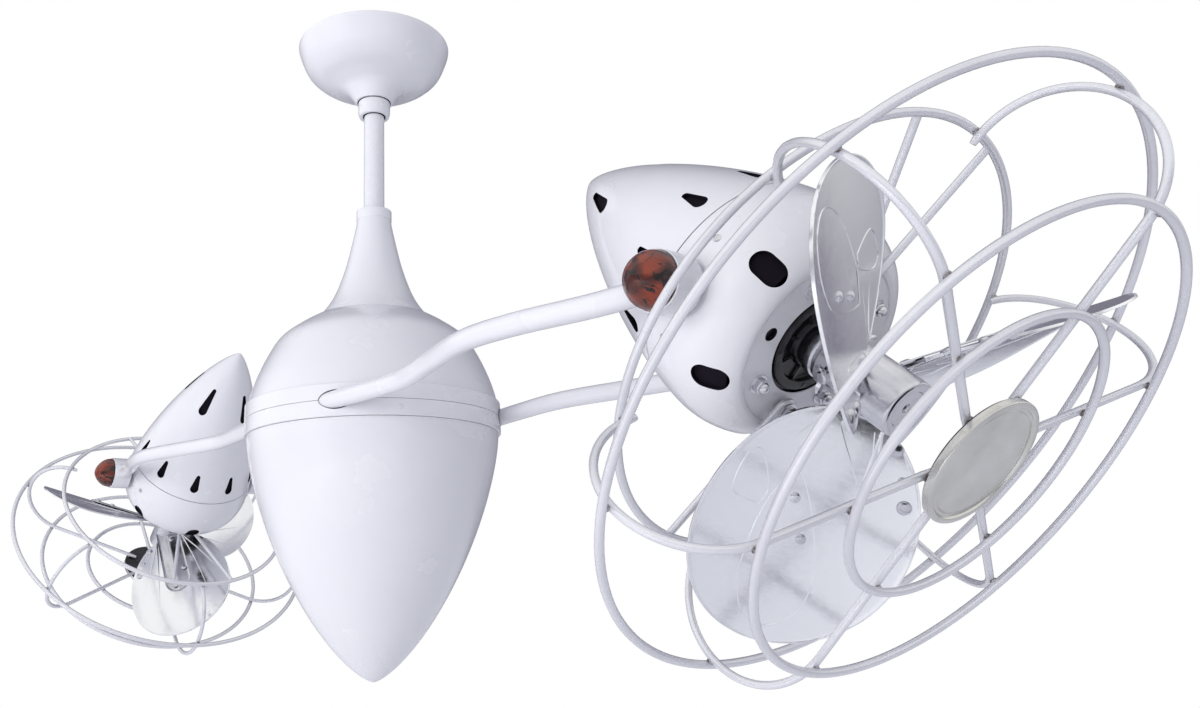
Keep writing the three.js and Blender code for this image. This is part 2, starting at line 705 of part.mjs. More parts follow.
function frontShell(prefix) {
  const outer = [];
  const seam = HEAD_SEAM + SEAT_GAP;
  outer.push([headRadiusAt(seam), seam]);
  const steps = 4;
  for (let i = 0; i <= steps; i++) {
    const share = eased(i, steps);
    outer.push([shoulderRadius(share), HEAD_WIDEST + HEAD_SHOULDER * share]);
  }
  const inside = lining(outer, HEAD_WALL).slice(1);
  const face = [
    [FACE_STEP_RADIUS, faceZ],
    [FACE_STEP_RADIUS, innerFaceZ],
    [OPENING_RADIUS, innerFaceZ],
    [OPENING_RADIUS, innerFaceZ - HEAD_WALL],
    [FACE_RADIUS - HEAD_WALL, innerFaceZ - HEAD_WALL],
  ];
  const turned = revolve([...outer, ...face, ...inside], ROUND_MEDIUM);
  const bolts = STRUT_ANGLES.map((angle) => strutBolt(radians(angle)));
  const cutters = [];
  for (let i = 0; i < FRONT_VENTS; i++) cutters.push(frontVent(FRONT_VENT_PHASE + (360 * i) / FRONT_VENTS));
  for (const side of [-1, 1]) {
    const hole = new THREE.CylinderGeometry(FACE_HOLE_RADIUS, FACE_HOLE_RADIUS, 6 * HEAD_WALL, ROUND_BOLT);
    cutters.push(hole.rotateX(Math.PI / 2).translate(side * FACE_BOLT_CIRCLE, 0, innerFaceZ));
    const pivot = PIN_RADIUS + 2 * SEAT_GAP;
    const bore = new THREE.CylinderGeometry(pivot, pivot, HEAD_RADIUS, ROUND_PIN);
    cutters.push(bore.rotateZ(Math.PI / 2).translate(side * HEAD_RADIUS, 0, 0));
  }
  return named(`${prefix}_front_shell`, geometryOf(cutFrom(joined(turned, ...bolts), cutters)), paint());
}

// A round-ended slot, cut square through the shoulder.
function frontVent(degrees) {
  const half = FRONT_VENT_LENGTH / 2 - FRONT_VENT_WIDTH / 2;
  const corners = [];
  for (let i = 0; i < 8; i++) {
    const angle = -Math.PI / 2 + (Math.PI * (i % 4)) / 3;
    const end = i < 4 ? 1 : -1;
    const along = end * (half + (FRONT_VENT_WIDTH / 2) * Math.cos(angle));
    corners.push(new THREE.Vector2(-end * (FRONT_VENT_WIDTH / 2) * Math.sin(angle), along));
  }
  const options = { depth: 3 * FRONT_VENT_WIDTH, bevelEnabled: false };
  const cutter = new THREE.ExtrudeGeometry(new THREE.Shape(corners), options);
  cutter.translate(0, 0, -FRONT_VENT_WIDTH).rotateX(-radians(FRONT_VENT_LEAN));
  cutter.translate(0, HEAD_WIDEST + HEAD_SHOULDER * FRONT_VENT_SHARE, shoulderRadius(FRONT_VENT_SHARE));
  return cutter.applyMatrix4(facing(degrees));
}

function fanMotor(prefix) {
  const flangeFront = innerFaceZ - HEAD_WALL - SEAT_GAP;
  const flangeRear = flangeFront - FAN_MOTOR_FLANGE_THICKNESS;
  const bore = SHAFT_RADIUS + SEAT_GAP;
  const bevel = 6;
  const profile = [
    [0, FAN_MOTOR_REAR],
    [FAN_MOTOR_RADIUS - bevel, FAN_MOTOR_REAR],
    [FAN_MOTOR_RADIUS, FAN_MOTOR_REAR + bevel],
    [FAN_MOTOR_RADIUS, flangeRear],
    [FAN_MOTOR_FLANGE_RADIUS, flangeRear],
    [FAN_MOTOR_FLANGE_RADIUS, flangeFront],
    [FAN_MOTOR_NOSE_RADIUS, flangeFront],
    [FAN_MOTOR_NOSE_RADIUS, innerFaceZ],
    [bore, innerFaceZ],
    [bore, SHAFT_REAR - SEAT_GAP],
    [0, SHAFT_REAR - SEAT_GAP],
  ];
  return named(`${prefix}_motor`, revolve(profile, ROUND_SMALL), blackMetal());
}

// ---- Tilt pivot pieces, along the head's X ----

function pivotPin(prefix, face, direction) {
  const nutOuter = headRadiusAt(HEAD_SEAM) - HEAD_WALL - 2 * SEAT_GAP;
  const nutInner = nutOuter - PIN_NUT_LENGTH;
  const bushInner = HEAD_RADIUS + SEAT_GAP;
  const bushOuter = bushInner + BUSH_THICKNESS;
  const knobInner = bossOuterY - BOSS_CUP_DEPTH + SEAT_GAP;
  const tip = knobInner + KNOB_BORE_DEPTH - SEAT_GAP;
  const profile = [
    [0, nutInner],
    [PIN_NUT_RADIUS, nutInner],
    [PIN_NUT_RADIUS, nutOuter],
    [PIN_RADIUS, nutOuter],
    [PIN_RADIUS, bushInner],
    [BUSH_RADIUS, bushInner],
    [BUSH_RADIUS, bushOuter],
    [PIN_RADIUS, bushOuter],
    [PIN_RADIUS, tip],
    [0, tip],
  ];
  const pin = revolve(profile, ROUND_PIN).rotateY((direction * Math.PI) / 2);
  return named(`${prefix}_pivot_pin_${face}`, pin, polished());
}

function knob(prefix, face, direction) {
  const inner = bossOuterY - BOSS_CUP_DEPTH + SEAT_GAP;
  const bore = PIN_RADIUS + SEAT_GAP;
  const rim = bossOuterY + SEAT_GAP;
  const straight = rim - inner + 2;
  const profile = [[bore, inner], [KNOB_SPIGOT_RADIUS, inner], [KNOB_SPIGOT_RADIUS, rim], [KNOB_RADIUS, rim]];
  const steps = 4;
  for (let i = 0; i <= steps; i++) {
    const angle = (Math.PI / 2) * (i / steps);
    const radius = i === steps ? 0 : KNOB_RADIUS * Math.cos(angle);
    profile.push([radius, inner + straight + (KNOB_LENGTH - straight) * Math.sin(angle)]);
  }
  profile.push([0, inner + KNOB_BORE_DEPTH], [bore, inner + KNOB_BORE_DEPTH]);
  const made = revolve(profile, ROUND_SMALL).rotateY((direction * Math.PI) / 2);
  return named(`${prefix}_knob_${face}`, made, stone());
}

// ---- Rotor ----

const bladeLift = (x, y) => {
  const off = (y - BLADE_SWEEP) / (BLADE_WIDTH / 2);
  return x * Math.tan(radians(BLADE_CONE)) + BLADE_CUP * off * off;
};

// Places a shape drawn with X out along a blade and Y across it.
function onBlade(geometry, degrees) {
  geometry.rotateX(radians(BLADE_PITCH));
  geometry.translate(0, 0, BLADE_AXIAL);
  geometry.rotateZ(radians(degrees));
  return geometry;
}

const bladeRoot = HUB_RADIUS + BLADE_ROOT_GAP;
const bladeReach = bladeRoot - BLADE_ROOT_CUT + BLADE_LENGTH;

function blade(prefix, number, degrees) {
  const middle = bladeReach - BLADE_LENGTH / 2;
  const start = Math.acos((middle - bladeRoot) / (BLADE_LENGTH / 2));
  const end = radians(180 - BLADE_TIP_CUT);
  const rows = [];
  const steps = 6;
  const columns = 4;
  for (let i = 0; i <= steps; i++) {
    const angle = THREE.MathUtils.lerp(start, end, i / steps);
    const x = middle - (BLADE_LENGTH / 2) * Math.cos(angle);
    const half = (BLADE_WIDTH / 2) * Math.sin(angle);
    const row = [];
    for (let j = 0; j <= columns; j++) row.push([x, BLADE_SWEEP + half * ((2 * j) / columns - 1)]);
    rows.push(row);
  }
  const made = sheet(rows, bladeLift, 0, BLADE_THICKNESS);
  return named(`${prefix}_blade_${number}`, onBlade(made, degrees), polished());
}

// The hub with one bracket under each blade.
function bladeHolder(prefix, phase) {
  const hub = revolve(
    [
      [0, SHAFT_REAR],
      [SHAFT_RADIUS, SHAFT_REAR],
      [SHAFT_RADIUS, HUB_REAR],
      [HUB_RADIUS, HUB_REAR],
      [HUB_RADIUS, HUB_FRONT],
      [0, HUB_FRONT],
    ],
    ROUND_SMALL,
  );
  const brackets = [];
  for (let i = 0; i < BLADES; i++) {
    const middle = (bladeRoot + BLADE_BRACKET_REACH) / 2;
    const stations = [HUB_RADIUS / 2, bladeRoot, middle, BLADE_BRACKET_REACH];
    const rows = stations.map((x, k) => {
      const half = THREE.MathUtils.lerp(...BLADE_BRACKET_WIDTHS, k / (stations.length - 1)) / 2;
      return [-1, 0, 1].map((share) => [x, BLADE_SWEEP + half * share]);
    });
    const base = -SEAT_GAP - BLADE_BRACKET_SHEET;
    brackets.push(onBlade(sheet(rows, bladeLift, base, BLADE_BRACKET_SHEET), phase + (360 * i) / BLADES));
  }
  return named(`${prefix}_blade_holder`, geometryOf(joined(hub, ...brackets)), polished());
}

// ---- Cage ----

const wireSeat = (SPOKE_WIRE + RING_WIRE) / 2 + SEAT_GAP;
const bendZ = CAGE_FRONT - SPOKE_BEND_RADIUS;
const bendCentre = bladeReach + CAGE_TIP_GAP - SPOKE_BEND_RADIUS; // radius where a spoke starts to turn back
const middleRingRadius = bendCentre + MIDDLE_RING_OFFSET;
const rearRingRadius = bendCentre + REAR_RING_OFFSET;

// A ring whose section has an edge at an angle from straight outwards, towards the wire it rests on,
// and whose facets meet at every spoke. A revolved shape starts a quarter turn from X.
function wireRing(radius, z, contact, facets, spokePhase) {
  const profile = [];
  for (let k = 0; k < WIRE_SIDES; k++) {
    const angle = contact + (2 * Math.PI * k) / WIRE_SIDES;
    profile.push([radius + (RING_WIRE / 2) * Math.cos(angle), z + (RING_WIRE / 2) * Math.sin(angle)]);
  }
  return revolve(profile, facets).rotateZ(radians(spokePhase - 90));
}

// How far round the bend, from its nearer end, a ring of a given radius rests on it.
const angleOnBend = (radius) => Math.asin((radius - bendCentre) / (SPOKE_BEND_RADIUS + wireSeat));

// A ring that rests on the outside of the spokes' bend, in front of its widest point or behind it.
function ringOnBend(radius, direction, facets, spokePhase) {
  const angle = angleOnBend(radius);
  const forward = direction * (SPOKE_BEND_RADIUS + wireSeat) * Math.cos(angle);
  const contact = -direction * (Math.PI / 2 + angle);
  return wireRing(radius, bendZ + forward, contact, facets, spokePhase);
}

function cageRings(prefix, spokePhase) {
  const outerRadius = bendCentre + SPOKE_BEND_RADIUS + wireSeat;
  const frontZ = CAGE_FRONT + wireSeat;
  const rings = [
    wireRing(FRONT_RING_RADIUS, frontZ, -Math.PI / 2, RING_FACETS.front, spokePhase),
    ringOnBend(middleRingRadius, 1, RING_FACETS.middle, spokePhase),
    wireRing(outerRadius, bendZ, Math.PI, RING_FACETS.outer, spokePhase),
  ];
  return rings.map((ring, i) => named(`${prefix}_ring_${i + 1}`, ring, wirePaint()));
}

// A spoke runs out behind the badge, turns back on itself and ends short of the rear ring.
function spoke(prefix, number, degrees) {
  const points = [new THREE.Vector3(SPOKE_INNER, 0, CAGE_FRONT)];
  const first = angleOnBend(middleRingRadius);
  const last = Math.PI - angleOnBend(rearRingRadius);
  const steps = 6;
  const angles = [];
  for (let i = 0; i <= steps; i++) angles.push(THREE.MathUtils.lerp(first, last, i / steps));
  for (const angle of [...angles, Math.PI]) {
    const x = bendCentre + SPOKE_BEND_RADIUS * Math.sin(angle);
    points.push(new THREE.Vector3(x, 0, bendZ + SPOKE_BEND_RADIUS * Math.cos(angle)));
  }
  const made = bar(points, SPOKE_WIRE / 2, WIRE_SIDES, new THREE.Vector3(0, 1, 0));
  return named(`${prefix}_spoke_${number}`, made.rotateZ(radians(degrees)), wirePaint());
}

// A strut: one wire bent round its bolt, with both feet on the rear ring.
function strut(degrees) {
  const z = faceZ + SEAT_GAP + SPOKE_WIRE / 2;
  const seat = SPOKE_BEND_RADIUS + wireSeat;
  const footZ = bendZ - seat * Math.cos(angleOnBend(rearRingRadius)) - STRUT_FOOT_SETBACK;
  const bend = STRUT_BOLT_RADIUS + SEAT_GAP + SPOKE_WIRE / 2;
  const spread = radians(STRUT_SPREAD);
  const foot = new THREE.Vector2(rearRingRadius * Math.cos(spread), rearRingRadius * Math.sin(spread));
  const run = new THREE.Vector2(foot.x - FACE_BOLT_CIRCLE, foot.y);
  const touch = Math.atan2(run.y, run.x) + Math.acos(bend / run.length());
  const points = [new THREE.Vector3(foot.x, foot.y, footZ)];
  const steps = 5;
  for (let i = 0; i <= steps; i++) {
    const angle = THREE.MathUtils.lerp(touch, 2 * Math.PI - touch, i / steps);
    points.push(new THREE.Vector3(FACE_BOLT_CIRCLE + bend * Math.cos(angle), bend * Math.sin(angle), z));
  }
  points.push(new THREE.Vector3(foot.x, -foot.y, footZ));
  return bar(points, SPOKE_WIRE / 2, WIRE_SIDES, new THREE.Vector3(0, 0, 1)).rotateZ(radians(degrees));
}

function rearCage(prefix, spokePhase) {
  const ring = ringOnBend(rearRingRadius, -1, RING_FACETS.rear, spokePhase);
  return named(`${prefix}_rear_cage`, geometryOf(joined(ring, ...STRUT_ANGLES.map(strut))), wirePaint());
}

function badge(prefix) {
  const back = CAGE_FRONT + SPOKE_WIRE / 2 + SEAT_GAP;
  const front = back + BADGE_THICKNESS;
  const inner = BADGE_RADIUS - BADGE_RIM_WIDTH;
  const profile = [
    [0, back],
    [BADGE_RADIUS, back],
    [BADGE_RADIUS, front],
    [inner, front],
    [inner, front - BADGE_RECESS],
    [0, front - BADGE_RECESS],
  ];
  return named(`${prefix}_badge`, revolve(profile, ROUND_BADGE), polished());
}

// ---- Assembly ----

function fanHead(prefix, { side, spokePhase, tipVentPhase, rotorPhase }) {
  const head = new THREE.Group();
  const tilt = radians(HEAD_TILT);
  const axis = new THREE.Vector3(side * Math.cos(tilt), 0, -Math.sin(tilt));
  const across = new THREE.Vector3(0, 1, 0);
  const up = axis.clone().cross(across);
  head.quaternion.setFromRotationMatrix(new THREE.Matrix4().makeBasis(across, up, axis));
  head.position.set(side * PIVOT_REACH, 0, seamZ);
  head.add(rearShell(prefix, tipVentPhase), frontShell(prefix), fanMotor(prefix));
  for (const [face, direction] of [["front", -1], ["back", 1]]) {
    head.add(pivotPin(prefix, face, direction), knob(prefix, face, direction));
  }
  head.add(bladeHolder(prefix, rotorPhase));
  for (let i = 0; i < BLADES; i++) head.add(blade(prefix, i + 1, rotorPhase + (360 * i) / BLADES));
  head.add(...cageRings(prefix, spokePhase), rearCage(prefix, spokePhase), badge(prefix));
  for (let i = 0; i < SPOKES; i++) head.add(spoke(prefix, i + 1, spokePhase + (360 * i) / SPOKES));
  return head;
}

const fan = new THREE.Group();
fan.add(ceilingBracket(), hangerBall(), downrod(), canopyCollar(), hangerCone());
fan.add(named("canopy", revolve(walled(canopyOuter(), CANOPY_WALL), ROUND_MEDIUM), paint()));
fan.add(upperShell(), lowerShell(), armCarrier(), turnMotor());
fan.add(band("upper_band", upperBandTop), band("lower_band", lowerBandTop));
for (const [side, face] of armSeats) fan.add(arm(side, face));
for (const [prefix, setting] of Object.entries(HEADS)) fan.add(fanHead(prefix, setting));

export default fan;
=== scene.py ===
"""Looks of a ceiling fan that carries a caged fan head on each side, built round its solids.

Lengths are in millimetres until a piece is finished, in the solids' own frame: the origin is on the
downrod's axis at the ceiling, +Z is up, and +X runs along the arms to the right head. A head's own
frame has +Z along its axis towards the blades, and +X along its tilt axis, away from the camera.
"""

from math import acos, asin, atan2, cos, degrees, exp, hypot, pi, radians, sin, sqrt, tan

import bmesh
import bpy
from mathutils import Matrix, Vector, noise


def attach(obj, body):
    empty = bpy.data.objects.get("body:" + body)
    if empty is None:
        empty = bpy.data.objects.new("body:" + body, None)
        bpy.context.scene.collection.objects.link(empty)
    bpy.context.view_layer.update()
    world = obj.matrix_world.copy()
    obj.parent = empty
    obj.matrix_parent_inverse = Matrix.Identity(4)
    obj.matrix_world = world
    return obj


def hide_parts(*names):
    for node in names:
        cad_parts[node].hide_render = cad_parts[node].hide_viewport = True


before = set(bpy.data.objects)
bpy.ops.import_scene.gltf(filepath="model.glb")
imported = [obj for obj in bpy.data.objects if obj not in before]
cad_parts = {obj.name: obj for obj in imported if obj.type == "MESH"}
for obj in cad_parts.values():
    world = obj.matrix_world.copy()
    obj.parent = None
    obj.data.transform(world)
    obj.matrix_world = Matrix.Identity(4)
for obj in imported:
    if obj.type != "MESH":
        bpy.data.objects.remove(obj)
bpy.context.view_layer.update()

# ---- Sizes, as in the solids ----
SEAT_GAP, TURN_GAP, PORT_GAP = 0.3, 1.2, 0.9
CANOPY_RADIUS, CANOPY_DEPTH, CANOPY_NECK, CANOPY_WALL = 83.6, 64.0, 20.0, 1.6
COLLAR_TOP, COLLAR_HEIGHT, COLLAR_RADIUS, COLLAR_BORE = -64.3, 17.0, 17.5, 12.0
ROD_RADIUS, ROD_WALL, ROD_TOP, ROD_VISIBLE = 11.0, 2.0, -6.5, 112.4
ROD_SOCKET, NECK_RISE = 34.0, 12.0  # how far the rod runs into the turning motor's neck, and the neck stands up
CONE_TOP = COLLAR_TOP - COLLAR_HEIGHT - ROD_VISIBLE
CONE_COLLAR_HEIGHT, CONE_COLLAR_RADIUS, CONE_HEIGHT, CONE_RIM_RADIUS, CONE_WALL = 11.0, 17.7, 109.7, 56.9, 2.0
CONE_RIM = CONE_TOP - CONE_COLLAR_HEIGHT - CONE_HEIGHT
BODY_TOP = CONE_RIM - TURN_GAP
BODY_RADIUS, BODY_WALL, BODY_TAPER = 125.0, 2.2, 0.7
UPPER_HEIGHT, UPPER_TOP_RADIUS, UPPER_MOUTH = 91.0, 62.0, 24.0
UPPER_RIM = BODY_TOP - UPPER_HEIGHT
BAND_RADIUS, BAND_HEIGHT = 127.5, 15.0
UPPER_BAND_TOP = UPPER_RIM - SEAT_GAP
SEAM_Z = UPPER_BAND_TOP - BAND_HEIGHT - SEAT_GAP / 2
LOWER_BAND_TOP = SEAM_Z - SEAT_GAP / 2
LOWER_RIM = LOWER_BAND_TOP - BAND_HEIGHT - SEAT_GAP
LOWER_HEIGHT = 230.0
PIVOT_REACH = 474.0
ARM_RADIUS, ARM_ROOT_X, ARM_ROOT_Y, BOW_IN, BOW_OUT = 8.0, 30.0, 101.0, 12.7, 21.5
BOSS_RADIUS, BOSS_LENGTH, BOSS_CUP = 19.25, 21.5, 2.0
PIN_RADIUS, PIN_NUT_RADIUS, PIN_NUT_LENGTH, BUSH_RADIUS, BUSH_THICKNESS = 5.0, 9.0, 5.0, 13.0, 2.4
KNOB_RADIUS, KNOB_LENGTH, KNOB_SPIGOT, KNOB_BORE, KNOB_BORE_DEPTH = 18.0, 22.0, 16.6, 5.3, 12.0
HEAD_TILT, HEAD_RADIUS, HEAD_WIDEST, HEAD_REAR, HEAD_SHOULDER = 43.8, 82.0, 5.0, 211.0, 42.0
HEAD_SEAM, HEAD_WALL, HEAD_TAPER = -21.0, 2.2, 0.77
FACE_RADIUS, FACE_STEP, FACE_STEP_DEPTH, OPENING_RADIUS = 60.0, 57.0, 1.5, 35.0
FACE_BOLTS, FACE_HOLE, PIVOT_HOLE = 46.0, 4.5, 5.8
FACE_Z = HEAD_WIDEST + HEAD_SHOULDER
FACE_INNER_Z = FACE_Z - FACE_STEP_DEPTH
# Each row of vents has a number, a span along the head's axis, and a vent's radius at its low and high end.
SIDE_VENTS, SIDE_VENT_SPAN, SIDE_VENT_RADII = 10, (-57, -33), (2.4, 5.2)
TIP_VENTS, TIP_VENT_SPAN, TIP_VENT_RADII = 5, (-161, -127), (2.6, 5.6)
SLOTS, SLOT_PHASE, SLOT_LENGTH, SLOT_WIDTH, SLOT_SHARE, SLOT_LEAN = 6, 32, 24.0, 16.0, 0.72, 31
MOTOR_REAR, MOTOR_RADIUS, MOTOR_FLANGE, MOTOR_NOSE, SHAFT_BORE, SHAFT_END = -32, 42, 53, 33, 6.4, -12.4
HUB_RADIUS, HUB_REAR, HUB_FRONT = 18.25, 50.0, 117.0
BLADES, BLADE_AXIAL, BLADE_PITCH, BLADE_CONE = 3, 85.5, 36.0, 6.6
BLADE_REACH, BLADE_ROOT, BLADE_LENGTH, BLADE_WIDTH = 176.0, 22.0, 158.0, 131.0
BLADE_SWEEP, BLADE_CUP, BLADE_SHEET = 5.0, 10.7, 1.4
BRACKET_REACH, BRACKET_WIDTH, BRACKET_SHEET = 112.0, 30.0, 0.9
SPOKES, SPOKE_WIRE, RING_WIRE, CAGE_FRONT, SPOKE_INNER = 6, 4.8, 5.2, 158.5, 26.0
BEND_RADIUS, BEND_CENTRE = 51.25, 142.5
FRONT_RING, MIDDLE_RING, REAR_RING = 89.0, 148.8, 150.0
WIRE_SEAT = (SPOKE_WIRE + RING_WIRE) / 2 + SEAT_GAP
BEND_Z = CAGE_FRONT - BEND_RADIUS
STRUT_BOLT, STRUT_SPREAD = 4.0, 15.0
BADGE_RADIUS, BADGE_THICKNESS = 39.0, 6.0
# Curves, as shares of a width and of a height.
CANOPY_FLARE = [(1, 0), (0.98, 0.09), (0.88, 0.34), (0.77, 0.47), (0.61, 0.58), (0.375, 0.67), (0.17, 0.78)]
CANOPY_FLARE += [(0, 1)]
CONE_FLARE = [(1, 0), (0.88, 0.06), (0.735, 0.134), (0.595, 0.225), (0.44, 0.362), (0.28, 0.544)]
CONE_FLARE += [(0.16, 0.7265), (0.05, 0.91), (0.01, 1)]
DOME_CURVE = [(1, 0), (0.976, 0.13), (0.936, 0.295), (0.864, 0.515), (0.768, 0.735), (0.616, 0.9)]
ARM_BOWS = [(0, 0), (0.1, 0.4), (0.2, 0.75), (0.32, 1), (0.4, 0.62), (0.52, -0.36), (0.645, -1), (0.76, -0.86)]
ARM_BOWS += [(0.9, -0.2), (1, 0)]
HEADS = {
    "right": {"side": 1, "spokes": 25, "tip_vents": 177, "rotor": -87},
    "left": {"side": -1, "spokes": 30, "tip_vents": 137, "rotor": -25},
}


# ---- Outlines ----

def angles(count):
    """Equal steps round a full turn, in radians."""
    return [2 * pi * k / count for k in range(count)]


def circle(radius, count):
    return [(radius * cos(a), radius * sin(a)) for a in angles(count)]


def heading(degrees):
    """The direction at an angle round Z."""
    return Vector((cos(radians(degrees)), sin(radians(degrees)), 0))


def turn_by(degrees):
    return Matrix.Rotation(radians(degrees), 4, "Z")


def egg_share(u, taper=HEAD_TAPER):
    """An egg's radius, as a share of its widest, at a share u of the way to its tip."""
    return max(0.0, 1 - u ** 1.5) ** taper


def egg(radius, widest, length, taper, steps, first=0.0):
    """An egg's outline from its widest, or from a share of the way on from there, to its tip."""
    run = []
    for i in range(steps + 1):
        share = sin(pi / 2 * (first + (1 - first) * i / steps))
        run.append((radius * egg_share(share, taper) if i < steps else 0.0, widest - length * share))
    return run


def rounded(corners, steps=5):
    """A closed outline whose (x, y, radius) corners are worked round; an (x, y) corner stays sharp."""
    outline = []
    for i, corner in enumerate(corners):
        at = Vector(corner[:2])
        if len(corner) < 3:
            outline.append(tuple(at))
            continue
        back = Vector(corners[i - 1][:2]) - at
        on = Vector(corners[(i + 1) % len(corners)][:2]) - at
        reach = min(corner[2] / tan(back.angle(on) / 2), 0.48 * back.length, 0.48 * on.length)
        start, end = at + back.normalized() * reach, at + on.normalized() * reach
        for k in range(steps + 1):
            s = k / steps
            outline.append(tuple((1 - s) ** 2 * start + 2 * s * (1 - s) * at + s ** 2 * end))
    return outline


def flowing(points, steps):
    """A smooth run through a few (x, y) points."""
    last = len(points) - 1
    run = []
    for k in range(steps + 1):
        place = last * k / steps
        i = min(int(place), last - 1)
        t = place - i
        a, b, c, d = (Vector(points[min(max(j, 0), last)]) for j in (i - 1, i, i + 1, i + 2))
        v0, v1 = (c - a) / 2, (d - b) / 2
        p = (2 * b - 2 * c + v0 + v1) * t ** 3 + (-3 * b + 3 * c - 2 * v0 - v1) * t ** 2 + v0 * t + b
        run.append(tuple(p))
    return run


def lined(outer, wall):
    """An open outer run of (radius, height), closed by the inside of its wall."""
    inner = []
    for i, (x, z) in enumerate(outer):
        (x0, z0), (x1, z1) = outer[max(i - 1, 0)], outer[min(i + 1, len(outer) - 1)]
        run = hypot(x1 - x0, z1 - z0)
        sign = 1 if z1 > z0 else -1
        if i in (0, len(outer) - 1) and x > 0:
            inner.append((x - wall, z))
        else:
            inner.append((max(0.0, x - wall * abs(z1 - z0) / run), z + wall * (x1 - x0) * sign / run))
    if outer[-1][0] == 0:
        inner[-1] = (0.0, outer[-1][1] + wall * (1 if outer[-1][1] < outer[0][1] else -1))
    return outer + inner[::-1]


# ---- Building in mesh ----

def turned(profile, segments=96, into=None, place=None, dark=None):
    """A closed outline of (radius, height) turned about Z; dark is the run of its sides that takes the second
    finish, which on the shells is their near-black painted shade.
    """
    made = into or bmesh.new()
    place = place or Matrix.Identity(4)
    rings = []
    for x, z in profile:
        if x < 1e-6:
            rings.append([made.verts.new(place @ Vector((0, 0, z)))])
            continue
        rings.append([made.verts.new(place @ Vector((*p, z))) for p in circle(x, segments)])
    for i, ring in enumerate(rings):
        after = rings[(i + 1) % len(rings)]
        if len(ring) == 1 and len(after) == 1:
            continue
        for k in range(segments):
            j = (k + 1) % segments
            if len(ring) == 1:
                face = made.faces.new((ring[0], after[j], after[k]))
            elif len(after) == 1:
                face = made.faces.new((ring[k], ring[j], after[0]))
            else:
                face = made.faces.new((ring[k], ring[j], after[j], after[k]))
            face.material_index = 1 if dark and dark[0] <= i < dark[1] else 0
    return made


def wire(points, radius, up, sides=14, closed=False, into=None, place=None):
    """A round wire along points in a plane square to up, capped flat where it is cut."""
    made = into or bmesh.new()
    place = place or Matrix.Identity(4)
    points = [Vector(p) for p in points]
    up = Vector(up).normalized()
    count = len(points)
    rings = []
    for i, p in enumerate(points):
        before = points[i - 1] if closed or i else p
        after = points[(i + 1) % count] if closed or i + 1 < count else p
        side = (after - before).normalized().cross(up).normalized()
        size = radius(i / (count - 1)) if callable(radius) else radius
        section = [p + size * (cos(a) * side + sin(a) * up) for a in angles(sides)]
        rings.append([made.verts.new(place @ corner) for corner in section])
    for i in range(count if closed else count - 1):
        ring, after = rings[i], rings[(i + 1) % count]
        for k in range(sides):
            j = (k + 1) % sides
            made.faces.new((ring[k], ring[j], after[j], after[k]))
    if not closed:
        made.faces.new(rings[0])
        made.faces.new(rings[-1][::-1])
    return made


def prism(outline, place, low, high, into=None):
    """A flat outline drawn out along its own Z between two heights."""
    made = into or bmesh.new()
    rows = [[made.verts.new(place @ Vector((x, y, z))) for x, y in outline] for z in (low, high)]
    count = len(outline)
    for k in range(count):
        j = (k + 1) % count
        made.faces.new((rows[0][k], rows[0][j], rows[1][j], rows[1][k]))
    made.faces.new(rows[0][::-1])
    made.faces.new(rows[1])
    return made


def skinned(made, low, top):
    """Joins two grids of points, one above the other, into a sheet that is closed all round."""
    rows, columns = len(low) - 1, len(low[0]) - 1
    for i in range(rows):
        for j in range(columns):
            made.faces.new((top[i][j], top[i + 1][j], top[i + 1][j + 1], top[i][j + 1]))
            made.faces.new((low[i][j], low[i][j + 1], low[i + 1][j + 1], low[i + 1][j]))
    border = [(i, 0) for i in range(rows)] + [(rows, j) for j in range(columns)]
    border += [(i, columns) for i in range(rows, 0, -1)] + [(0, j) for j in range(columns, 0, -1)]
    for k, (i, j) in enumerate(border):
        m, n = border[(k + 1) % len(border)]
        made.faces.new((low[i][j], top[i][j], top[m][n], low[m][n]))


def standing(at, along, spin=0.0):
    """The place of a thing that stands at a point with its own Z along a direction."""
    turn = Vector(along).to_track_quat("Z", "Y").to_matrix().to_4x4()
    return Matrix.Translation(Vector(at)) @ turn @ Matrix.Rotation(spin, 4, "Z")


def in_scene(name, data):
    """A new object in the scene."""
    thing = bpy.data.objects.new(name, data)
    bpy.context.scene.collection.objects.link(thing)
    return thing


def loose(made, name="loose"):
    """A built mesh as an object, with its faces turned outwards."""
    bmesh.ops.recalc_face_normals(made, faces=made.faces)
    mesh = bpy.data.meshes.new(name)
    made.to_mesh(mesh)
    made.free()
    return in_scene(name, mesh)


def carved(made, cutters):
    """The piece with the cutters, all in one mesh, taken out of it."""
    # The walls the cutters leave take the second finish, the near-black painted shade.
    for face in cutters.faces:
        face.material_index = 1
    body, tool = loose(made), loose(cutters)
    for thing in (body, tool):
        thing.data.materials.append(painted)
        thing.data.materials.append(inside_painted_shade)
    cut = body.modifiers.new("cut", "BOOLEAN")
    cut.operation, cut.solver, cut.object = "DIFFERENCE", "EXACT", tool
    mesh = bpy.data.meshes.new_from_object(body.evaluated_get(bpy.context.evaluated_depsgraph_get()))
    result = bmesh.new()
    result.from_mesh(mesh)
    for thing in (body, tool):
        bpy.data.objects.remove(thing)
    bpy.data.meshes.remove(mesh)
    return result


def finished(name, made, body, finishes, place=None, stands_for=(), sharp=30):
    """A mesh in millimetres as a piece in metres that rides on its body."""
    if place is not None:
        made.transform(place)
    made.transform(Matrix.Scale(0.001, 4))
    thing = loose(made, name)
    for finish in finishes:
        thing.data.materials.append(finish)
    thing.data.polygons.foreach_set("use_smooth", [True] * len(thing.data.polygons))
    thing.data.set_sharp_from_angle(angle=radians(sharp))
    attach(thing, body)
    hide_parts(*stands_for)


# ---- Effects that several finishes share ----

